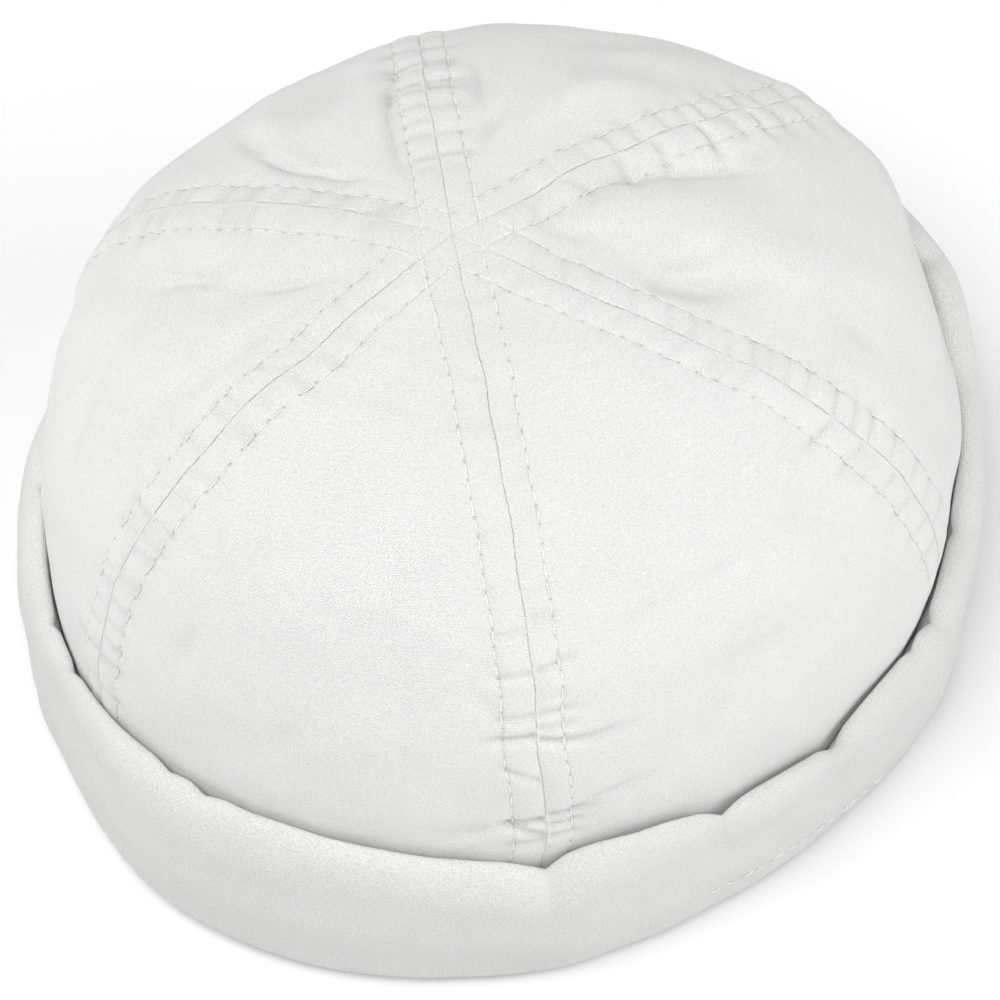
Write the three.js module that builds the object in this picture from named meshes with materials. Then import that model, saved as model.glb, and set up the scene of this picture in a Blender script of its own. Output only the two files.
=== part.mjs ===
// Docker cap: a brimless crown of six sewn cloth panels inside a turned-up cuff.
// Millimetres, +Z up. The front is along -Y. Plan angles run anticlockwise from +X round the
// middle of the rim. The origin is under the middle of the whole cap, on the surface it rests on.
import * as THREE from 'three';

// Driving sizes.
const RIM_LENGTH = 199; // crown at the rim, front to back, outside
const RIM_WIDTH = 172; // crown at the rim, side to side, outside
const CROWN_HEIGHT = 117.8;
const CROWN_CLOTH = 1.3; // wall of the crown
const CUFF_CLOTH = 1.6; // wall of each of the cuff's two layers
const CUFF_HEIGHT = 38.5;
const CUFF_REACH = 9.3; // outside of the cuff from the crown's rim
const CLEARANCE = 0.3; // between neighbouring pieces
const RIM_MIDDLE = { x: 2.3, y: -2.1 }; // from the origin

// Crown form: a superellipse from rim to apex, swollen at half height.
const SIDE_POWER = 2.71; // how long the side stays upright
const TOP_POWER = 3.05; // how flat the top is
const SWELL = 0.096; // share of the radius
const LEAN = { share: 0.05, towardDeg: 117 }; // mid-height leans to the back
const SQUEEZE = { share: 0.013, alongDeg: 36 }; // mid-height is narrower along here
const APEX_SHIFT = { x: -7.5, y: -11.5 }; // apex from the rim's middle
const APEX_LEVEL = 0.9963; // where the panels' tips end, just short of the apex

// The six seams, anticlockwise. Each runs from rimDeg at the rim to topDeg at the apex,
// and panel is the cloth between it and the next seam.
const SEAMS = [
  { rimDeg: -35.3, topDeg: -28.7, panel: 'panel_right' },
  { rimDeg: 39.6, topDeg: 22.0, panel: 'panel_back_right' },
  { rimDeg: 101.2, topDeg: 86.3, panel: 'panel_back_left' },
  { rimDeg: 151.8, topDeg: 147.7, panel: 'panel_left' },
  { rimDeg: 213.1, topDeg: 213.5, panel: 'panel_front_left' },
  { rimDeg: 264.9, topDeg: 277.3, panel: 'panel_front_right' },
];

// Each seam is a raised double-stitched band with a ditch along its middle.
const SEAM_BAND = { half: 5, lift: 0.7, ditch: 0.5, ditchHalf: 1.5, blend: 2.5 };
const BAND_MOST = 0.28; // share of a panel's width that a band takes at most
const SEAM_FLAT_BELOW = 18; // height under which the band is pressed flat
const SEAM_FULL_ABOVE = 46; // height over which it has its full lift

// Soft hollows of the crown, and swells where depth is negative: plan angle and level of the
// middle, length and width, the way its length runs from level (0) to rising (90), and depth.
const HOLLOWS = [
  { deg: 184, level: 0.77, length: 22, width: 7, riseDeg: 60, depth: 2.0 },
  { deg: 242, level: 0.77, length: 20, width: 7, riseDeg: 50, depth: 1.6 },
  { deg: 78, level: 0.74, length: 18, width: 6, riseDeg: 75, depth: 2.0 },
  { deg: 56, level: 0.92, length: 7, width: 3.5, riseDeg: 30, depth: 1.0 },
  { deg: 46, level: 0.74, length: 26, width: 9, riseDeg: 85, depth: 1.4 },
  { deg: 112, level: 0.66, length: 16, width: 7, riseDeg: 20, depth: 1.4 },
  { deg: 297, level: 0.38, length: 26, width: 10, riseDeg: 10, depth: 1.2 },
  { deg: 353, level: 0.25, length: 28, width: 9, riseDeg: 15, depth: 1.4 },
  { deg: 132, level: 0.3, length: 26, width: 9, riseDeg: 12, depth: 1.3 },
  { deg: 190, level: 0.27, length: 28, width: 9, riseDeg: 168, depth: 1.4 },
  { deg: 169, level: 0.51, length: 16, width: 12, riseDeg: 90, depth: 1.6 },
  { deg: 69, level: 0.28, length: 16, width: 10, riseDeg: 20, depth: 2.0 },
  { deg: 56, level: 0.17, length: 16, width: 12, riseDeg: 0, depth: -1.4 },
  { deg: 84, level: 0.38, length: 13, width: 11, riseDeg: 0, depth: -2.8 },
  { deg: 97, level: 0.44, length: 11, width: 10, riseDeg: 0, depth: -2.4 },
  { deg: 209, level: 0.44, length: 30, width: 14, riseDeg: 20, depth: -1.8 },
];

// Nicks in the cuff's top fold. rise is the fold's height at the nick from CUFF_HEIGHT,
// crest how far the fold swells over the straight way to the next nick, gap the room
// between the cuff and the crown at the nick, and reach how much further out the wall is.
const CUFF_NICKS = [
  { deg: 8, rise: -9.4, crest: 2.0, gap: 1.3, reach: -2.4 },
  { deg: 26, rise: -6.7, crest: 0.8, gap: 1.8, reach: -0.6 },
  { deg: 33, rise: -4.9, crest: 1.2, gap: 2.2, reach: 0.1 },
  { deg: 45, rise: -4.0, crest: 1.6, gap: 1.9, reach: -1.4 },
  { deg: 66, rise: 5.1, crest: 1.6, gap: 1.5, reach: -0.6 },
  { deg: 84, rise: 13.6, crest: 1.8, gap: 2.6, reach: 3.9 },
  { deg: 106, rise: 9.5, crest: 2.0, gap: 2.6, reach: 4.5 },
  { deg: 131, rise: 5.0, crest: 2.2, gap: 2.0, reach: 3.1 },
  { deg: 152, rise: 2.5, crest: 2.0, gap: 1.4, reach: 2.1 },
  { deg: 176, rise: 2.0, crest: 2.0, gap: 1.6, reach: 2.0 },
  { deg: 203, rise: 3.4, crest: 1.8, gap: 1.8, reach: 2.4 },
  { deg: 234, rise: 4.3, crest: 1.6, gap: 1.6, reach: 0.2 },
  { deg: 250, rise: -3.0, crest: 0.6, gap: 0.8, reach: -0.9 },
  { deg: 259, rise: -1.0, crest: 1.6, gap: 0.9, reach: -1.5 },
  { deg: 284, rise: 4.1, crest: 3.2, gap: 1.1, reach: 0.9 },
  { deg: 325, rise: -4.9, crest: 3.0, gap: 1.0, reach: -0.3 },
  { deg: 337, rise: -1.8, crest: 1.4, gap: 1.2, reach: -1.6 },
  { deg: 349, rise: -6.0, crest: 1.8, gap: 0.9, reach: -2.8 },
];
const CUFF_FOOT_RADIUS = 3.2; // bend between the cuff's wall and its flat underside
const CUFF_WAIST = 0.8; // how much further out the wall is at half height
const CUFF_INNER_EDGE = 9; // height of the inner layer's free lower edge
const NICK_STEP_DEG = 5; // longest step round the cuff

// How finely the cloth is faceted.
const PANEL_ROWS = 15;
const PANEL_FIELDS = 5; // columns of facets between a panel's two seam bands
const PROFILE_STEPS = 400;
const NORMAL_STEP = { deg: 0.5, level: 0.002 }; // steps that the cloth's slope is read over

// Colours of the cloth.
const CROWN_WHITE = 0xeeeeec;
const CUFF_WHITE = 0xe9e9e7;

const toRad = THREE.MathUtils.degToRad;
const smooth = THREE.MathUtils.smoothstep;
const lerp = THREE.MathUtils.lerp;

function rimRadius(deg) {
  const along = Math.sin(toRad(deg)) / (RIM_LENGTH / 2);
  const across = Math.cos(toRad(deg)) / (RIM_WIDTH / 2);
  return 1 / Math.hypot(along, across);
}

function outward(deg) {
  return new THREE.Vector3(Math.cos(toRad(deg)), Math.sin(toRad(deg)), 0);
}

// Smooth outside of the crown. level is 0 at the rim and 1 at the apex.
function crownForm(deg, level) {
  const turn = (level * Math.PI) / 2;
  const middle = Math.sin(Math.PI * level);
  const height = Math.sin(turn) ** (2 / TOP_POWER);
  const lean = LEAN.share * Math.cos(toRad(deg - LEAN.towardDeg));
  const squeeze = SQUEEZE.share * Math.cos(toRad(2 * (deg - SQUEEZE.alongDeg)));
  const fullness = Math.cos(turn) ** (2 / SIDE_POWER) * (1 + SWELL * middle);
  return outward(deg)
    .multiplyScalar(rimRadius(deg) * fullness * (1 + (lean - squeeze) * middle))
    .add(new THREE.Vector3(APEX_SHIFT.x, APEX_SHIFT.y, 0).multiplyScalar(height ** 2))
    .setZ(CROWN_HEIGHT * height);
}

function crownLevelAt(height) {
  return (Math.asin((height / CROWN_HEIGHT) ** (TOP_POWER / 2)) * 2) / Math.PI;
}

function crownNormal(deg, level) {
  const stepLevel = Math.min(NORMAL_STEP.level, (1 - level) / 2);
  const east = crownForm(deg + NORMAL_STEP.deg, level).sub(crownForm(deg - NORMAL_STEP.deg, level));
  const north = crownForm(deg, level + stepLevel).sub(crownForm(deg, Math.max(0, level - stepLevel)));
  const normal = east.cross(north);
  if (level === 0) normal.setZ(0);
  return normal.normalize();
}

// Length of the crown's profile from the rim up to each of PROFILE_STEPS levels.
const PROFILE_LENGTHS = [0];
for (let step = 1; step <= PROFILE_STEPS; step++) {
  const lower = crownForm(0, (step - 1) / PROFILE_STEPS);
  const upper = crownForm(0, step / PROFILE_STEPS);
  PROFILE_LENGTHS.push(PROFILE_LENGTHS[step - 1] + lower.distanceTo(upper));
}

function profileLength(level) {
  const place = level * PROFILE_STEPS;
  const step = Math.min(Math.floor(place), PROFILE_STEPS - 1);
  return lerp(PROFILE_LENGTHS[step], PROFILE_LENGTHS[step + 1], place - step);
}

// Levels that split the profile into equal lengths, from the rim to the panels' tips.
function evenLevels(rows) {
  const whole = profileLength(APEX_LEVEL);
  const levels = [0];
  for (let row = 1; row < rows; row++) {
    const wanted = (whole * row) / rows;
    const step = PROFILE_LENGTHS.findIndex((length) => length > wanted) - 1;
    const run = PROFILE_LENGTHS[step + 1] - PROFILE_LENGTHS[step];
    levels.push((step + (wanted - PROFILE_LENGTHS[step]) / run) / PROFILE_STEPS);
  }
  levels.push(APEX_LEVEL);
  return levels;
}

// Depth of the soft hollows at a place on the crown. They die away behind the cuff.
function hollowDepth(deg, level) {
  let depth = 0;
  for (const hollow of HOLLOWS) {
    const turn = THREE.MathUtils.euclideanModulo(deg - hollow.deg + 180, 360) - 180;
    const middle = crownForm(hollow.deg, hollow.level);
    const radius = Math.hypot(middle.x, middle.y);
    const east = toRad(turn) * radius;
    const north = profileLength(level) - profileLength(hollow.level);
    const rise = toRad(hollow.riseDeg);
    const along = east * Math.cos(rise) + north * Math.sin(rise);
    const across = north * Math.cos(rise) - east * Math.sin(rise);
    depth += hollow.depth * Math.exp(-((along / hollow.length) ** 2) - (across / hollow.width) ** 2);
  }
  return depth * smooth(crownForm(deg, level).z, 0, CUFF_HEIGHT);
}

// Height of the seam band over the cloth at a distance from the seam's ditch.
function seamRelief(distance, height) {
  const { half, lift, ditch, ditchHalf, blend } = SEAM_BAND;
  const pad = 1 - smooth(distance, half - blend, half);
  const groove = Math.exp(-((distance / ditchHalf) ** 2));
  return (lift * pad - (lift + ditch) * groove) * smooth(height, SEAM_FLAT_BELOW, SEAM_FULL_ABOVE);
}

function seamDeg(seam, level) {
  return lerp(seam.rimDeg, seam.topDeg, level);
}

// Places across a panel, as shares of its width, with the seam bands' own columns at each side.
function columnShares(width) {
  const edge = CLEARANCE / 2 / width;
  const side = Math.min(SEAM_BAND.half / width, BAND_MOST);
  const crest = side / 2;
  const shares = [edge, crest, side];
  for (let field = 1; field < PANEL_FIELDS; field++) {
    shares.push(lerp(side, 1 - side, field / PANEL_FIELDS));
  }
  return [...shares, 1 - side, 1 - crest, 1 - edge];
}

// Closed body between two sheets of points with the same rows and columns.
// outer faces out where its columns run anticlockwise and its rows run upwards.
function bodyBetween(outer, inner) {
  const rows = outer.length;
  const columns = outer[0].length;
  const points = [...outer.flat(), ...inner.flat()];
  const at = (sheet, row, column) => (sheet * rows + row) * columns + column;
  const faces = [];
  const quad = (a, b, c, d) => faces.push(a, b, c, a, c, d);
  for (let row = 0; row < rows - 1; row++) {
    for (let column = 0; column < columns - 1; column++) {
      quad(at(0, row, column), at(0, row, column + 1), at(0, row + 1, column + 1), at(0, row + 1, column));
      quad(at(1, row, column), at(1, row + 1, column), at(1, row + 1, column + 1), at(1, row, column + 1));
    }
    const last = columns - 1;
    quad(at(0, row, 0), at(0, row + 1, 0), at(1, row + 1, 0), at(1, row, 0));
    quad(at(0, row, last), at(1, row, last), at(1, row + 1, last), at(0, row + 1, last));
  }
  for (let column = 0; column < columns - 1; column++) {
    const top = rows - 1;
    quad(at(0, 0, column), at(1, 0, column), at(1, 0, column + 1), at(0, 0, column + 1));
    quad(at(0, top, column), at(0, top, column + 1), at(1, top, column + 1), at(1, top, column));
  }
  return bodyGeometry(points, faces);
}

function bodyGeometry(points, faces) {
  const geometry = new THREE.BufferGeometry();
  geometry.setFromPoints(points);
  geometry.setIndex(faces);
  geometry.computeVertexNormals();
  return geometry;
}

// One gore of the crown, between a seam and the next one round.
function panelGeometry(seam, next) {
  const outer = [];
  const inner = [];
  for (const level of evenLevels(PANEL_ROWS)) {
    const from = seamDeg(seam, level);
    const span = THREE.MathUtils.euclideanModulo(seamDeg(next, level) - from, 360);
    const width = crownForm(from, level).distanceTo(crownForm(from + span, level));
    const outerRow = [];
    const innerRow = [];
    for (const share of columnShares(width)) {
      const deg = from + span * share;
      const skin = crownForm(deg, level);
      const normal = crownNormal(deg, level);
      const distance = Math.min(share, 1 - share) * width;
      const relief = seamRelief(distance, skin.z) - hollowDepth(deg, level);
      outerRow.push(skin.clone().addScaledVector(normal, relief));
      innerRow.push(skin.clone().addScaledVector(normal, relief - CROWN_CLOTH));
    }
    outer.push(outerRow);
    inner.push(innerRow);
  }
  return bodyBetween(outer, inner);
}

// Plan angles round the cuff, with a step at every nick, and the top fold there.
function cuffStations() {
  const stations = [];
  CUFF_NICKS.forEach((nick, index) => {
    const next = CUFF_NICKS[(index + 1) % CUFF_NICKS.length];
    const span = THREE.MathUtils.euclideanModulo(next.deg - nick.deg, 360);
    const steps = Math.ceil(span / NICK_STEP_DEG);
    for (let step = 0; step < steps; step++) {
      const share = step / steps;
      const ease = smooth(share, 0, 1);
      const swell = 4 * share * (1 - share);
      const rise = lerp(nick.rise, next.rise, share) + nick.crest * swell;
      stations.push({
        deg: nick.deg + span * share,
        top: CUFF_HEIGHT + rise,
        gap: lerp(nick.gap, next.gap, ease),
        reach: lerp(nick.reach, next.reach, ease),
      });
    }
  });
  return stations;
}

// Section of the cuff at one station, as the closed outline of a folded double layer:
// up the inner layer, over the top fold, down the wall and under the flat foot.
function cuffSection({ deg, top, gap, reach }) {
  const half = CUFF_CLOTH / 2;
  const out = outward(deg);
  const crownRadius = (height) => {
    const level = crownLevelAt(height);
    const wall = crownForm(deg, level);
    return Math.hypot(wall.x, wall.y) - hollowDepth(deg, level);
  };
  const rim = rimRadius(deg);
  const wallRadius = rim + CUFF_REACH + reach - half;
  const innerRadius = (height) => crownRadius(height) + gap + half;
  const foldHalf = (wallRadius - innerRadius(top)) / 2;
  const foldHeight = top - half - foldHalf;
  const foldMiddle = wallRadius - foldHalf;
  const footRadius = CUFF_FOOT_RADIUS - half;
  const way = [];
  const place = (radius, height, normalOut, normalUp) => way.push({ radius, height, normalOut, normalUp });
  place(innerRadius(CUFF_INNER_EDGE), CUFF_INNER_EDGE, -1, 0);
  for (const turnDeg of [180, 135, 90, 45, 0]) {
    const normalOut = Math.cos(toRad(turnDeg));
    const normalUp = Math.sin(toRad(turnDeg));
    place(foldMiddle + foldHalf * normalOut, foldHeight + foldHalf * normalUp, normalOut, normalUp);
  }
  place(wallRadius + CUFF_WAIST, foldHeight / 2, 1, 0);
  for (const turnDeg of [0, -45, -90]) {
    const normalOut = Math.cos(toRad(turnDeg));
    const normalUp = Math.sin(toRad(turnDeg));
    const centre = wallRadius - footRadius;
    place(centre + footRadius * normalOut, CUFF_FOOT_RADIUS + footRadius * normalUp, normalOut, normalUp);
  }
  place(rim + CLEARANCE, half, 0, -1);
  const side = (sign) => way.map(({ radius, height, normalOut, normalUp }) =>
    out.clone().multiplyScalar(radius + sign * half * normalOut).setZ(height + sign * half * normalUp));
  return [...side(1), ...side(-1).reverse()];
}

function cuffGeometry() {
  const rings = cuffStations().map(cuffSection);
  const count = rings[0].length;
  const faces = [];
  rings.forEach((ring, index) => {
    const here = index * count;
    const there = ((index + 1) % rings.length) * count;
    for (let corner = 0; corner < count; corner++) {
      const next = (corner + 1) % count;
      faces.push(here + corner, here + next, there + next);
      faces.push(here + corner, there + next, there + corner);
    }
  });
  return bodyGeometry(rings.flat(), faces);
}

function clothPiece(name, geometry, color) {
  const material = new THREE.MeshStandardMaterial({ color, roughness: 0.95, metalness: 0 });
  const piece = new THREE.Mesh(geometry, material);
  piece.name = name;
  return piece;
}

const crown = new THREE.Group();
SEAMS.forEach((seam, index) => {
  const next = SEAMS[(index + 1) % SEAMS.length];
  crown.add(clothPiece(seam.panel, panelGeometry(seam, next), CROWN_WHITE));
});

const cap = new THREE.Group();
cap.position.set(RIM_MIDDLE.x, RIM_MIDDLE.y, 0);
cap.add(crown);
cap.add(clothPiece('cuff', cuffGeometry(), CUFF_WHITE));

export default cap;
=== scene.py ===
"""Looks of a white cotton docker cap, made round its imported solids.

The crown is six sewn panels with topstitched seams, and the cuff is a doubled band turned up round it.
Sizes below are in millimetres round the middle of the rim (front along -Y, rim on the ground), and plan
angles run anticlockwise from +X. Meshes are written in metres in the part's own frame.
"""

import logging
import math
from dataclasses import astuple, dataclass, field, replace
from enum import Enum
from functools import cached_property

import bpy
import numpy as np
from mathutils import Matrix, Vector


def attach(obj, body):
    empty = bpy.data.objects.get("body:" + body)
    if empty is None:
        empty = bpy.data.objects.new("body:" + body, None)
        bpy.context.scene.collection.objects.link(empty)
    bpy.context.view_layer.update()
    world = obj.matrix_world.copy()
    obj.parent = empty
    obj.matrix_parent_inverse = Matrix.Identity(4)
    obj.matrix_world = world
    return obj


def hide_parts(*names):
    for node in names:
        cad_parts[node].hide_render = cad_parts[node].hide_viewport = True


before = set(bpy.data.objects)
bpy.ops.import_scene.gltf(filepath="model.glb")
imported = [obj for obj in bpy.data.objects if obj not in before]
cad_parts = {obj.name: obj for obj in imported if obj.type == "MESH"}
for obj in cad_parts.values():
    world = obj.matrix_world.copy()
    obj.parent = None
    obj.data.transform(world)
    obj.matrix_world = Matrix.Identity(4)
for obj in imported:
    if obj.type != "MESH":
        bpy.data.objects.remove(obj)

Array = np.ndarray
Pair = tuple[float, float]
Triple = tuple[float, float, float]
Piece = bpy.types.Object
Material = bpy.types.Material
Socket = bpy.types.NodeSocket

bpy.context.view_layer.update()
MM = 0.001
RIM_MIDDLE = np.array((2.3, -2.1, 0.0))
BODY = "root"
CLOTH_MAP = "cloth"
SEAM_MAP = "seam"
JOIN_MAP = "join"
# Map of the painted shade in creases, and of how much painted shade each join line gets.
PAINTED_SHADE_MAP = "fold"
STITCH_PITCH = 3.7
JOIN_PITCH = 2.7
FIRST_HOLE = 0.35
FAR = 1e3
SAME_PLACE = 1e-6
TINY = 1e-12
BLUE_SHARE = 0.995

log = logging.getLogger("docker_cap")


class Side(Enum):
    """The two sides of a seam, as seen going round the crown anticlockwise."""

    BEFORE = -1
    AFTER = 1


class Slot(Enum):
    """The record's material slots."""

    CROWN = "crown_cloth"
    CUFF = "cuff_cloth"


def smoothstep(value: Array, low: float, high: float) -> Array:
    """Eases from 0 at low to 1 at high.

    Args:
        value: Numbers to ease.
        low: Where the result is 0.
        high: Where the result is 1.

    Returns:
        The eased numbers.
    """
    share = np.clip((value - low) / (high - low), 0.0, 1.0)
    return share * share * (3.0 - 2.0 * share)


def unit(vectors: Array) -> Array:
    """Scales each vector of the last axis to length 1."""
    return vectors / np.maximum(np.linalg.norm(vectors, axis=-1, keepdims=True), TINY)


def placed(points: Array) -> Array:
    """Takes points round the rim's middle to metres in the part's frame."""
    return (points + RIM_MIDDLE) * MM


def turn_between(deg: Array, other: Array) -> Array:
    """Smallest signed turn from other to deg, in degrees."""
    return (deg - other + 180.0) % 360.0 - 180.0


@dataclass(frozen=True)
class Unevenness:
    """Soft seeded waves that take the machine look off cloth.

    Attributes:
        seed: Start of the random draws.
        shortest: Shortest wave length.
        longest: Longest wave length.
        waves: How many waves are added up.
        peak: Usual height of their sum, which is scaled to 1.
    """

    seed: int
    shortest: float
    longest: float
    waves: int = 28
    peak: float = 1.6

    @cached_property
    def table(self) -> tuple[Array, Array]:
        """The waves' directions, scaled to radians per millimetre, and their phases."""
        draw = np.random.default_rng(self.seed)
        lengths = draw.uniform(self.shortest, self.longest, self.waves)
        ways = unit(draw.normal(size=(self.waves, 3)))
        return ways * (2.0 * math.pi / lengths)[:, None], draw.uniform(0.0, 2.0 * math.pi, self.waves)

    def at(self, points: Array) -> Array:
        """Height of the waves, about -1 to 1, at points of the last axis."""
        ways, phases = self.table
        total = np.zeros(points.shape[:-1])
        for way, phase in zip(ways, phases):
            total += np.cos(points @ way + phase)
        return total * math.sqrt(2.0 / self.waves) / self.peak

    def along(self, places: Array) -> Array:
        """Height of the waves at places along one line."""
        points = np.zeros((*places.shape, 3))
        points[..., 0] = places
        return self.at(points)


@dataclass(frozen=True)
class PuckerRun:
    """A stretch of a seam that its stitching gathers into creases.

    Attributes:
        start: Where it starts, along the seam from the rim.
        stop: Where it ends.
        pitch: Usual room from crease to crease.
        depth: Depth of the creases.
        slant: How far a crease climbs for each millimetre away from the seam.
        reach: How far a crease runs on past the topstitching.
    """

    start: float
    stop: float
    pitch: float
    depth: float
    slant: float
    reach: float


@dataclass(frozen=True)
class Crease:
    """One crease that the stitching draws up beside a seam.

    Attributes:
        side: Side of the seam.
        place: Where it starts, along the seam from the rim.
        depth: Its depth.
        width: Half its width.
        slant: How far it climbs for each millimetre away from the seam.
        reach: How far it runs on past the topstitching.
    """

    side: Side
    place: float
    depth: float
    width: float
    slant: float
    reach: float


@dataclass(frozen=True)
class Bow:
    """A place where a seam bows aside.

    Attributes:
        place: Its middle, along the seam from the rim.
        half: Half length.
        shift: How far the seam is moved anticlockwise there.
    """

    place: float
    half: float
    shift: float


@dataclass(frozen=True)
class Seam:
    """One seam of the crown.

    Attributes:
        name: Its place on the cap.
        rim_deg: Plan angle at the rim.
        top_deg: Plan angle at the apex.
        panel: Node of the cloth that follows it anticlockwise.
        seen_from: Where that cloth starts to show in the picture, along the seam from the rim.
        seed: Start of its random draws.
        before: Distance of the topstitching before it.
        after: Distance of the topstitching after it.
        lip: Side whose edge stands up along the join line.
        lip_height: How far it stands up.
        join_painted_shade: How much painted shade the join line gets, 1 for the cloth's darkest.
        thread: Radius of its topstitching thread.
        bows: Where it leaves its even line.
        runs: Its evenly gathered stretches.
        creases: Its single creases.
    """

    name: str
    rim_deg: float
    top_deg: float
    panel: str
    seen_from: float
    seed: int
    before: float
    after: float
    lip: Side
    lip_height: float
    join_painted_shade: float
    thread: float
    bows: tuple[Bow, ...]
    runs: tuple[PuckerRun, ...]
    creases: tuple[Crease, ...]


def crease_rows(side: Side, slant: float, *rows: tuple[float, float, float, float]) -> tuple[Crease, ...]:
    """Creases on one side of a seam.

    Args:
        side: Side of the seam.
        slant: Slant that they share.
        rows: Place, depth, half width and reach of each.

    Returns:
        The creases.
    """
    return tuple(Crease(side, place, depth, width, slant, reach) for place, depth, width, reach in rows)


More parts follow.
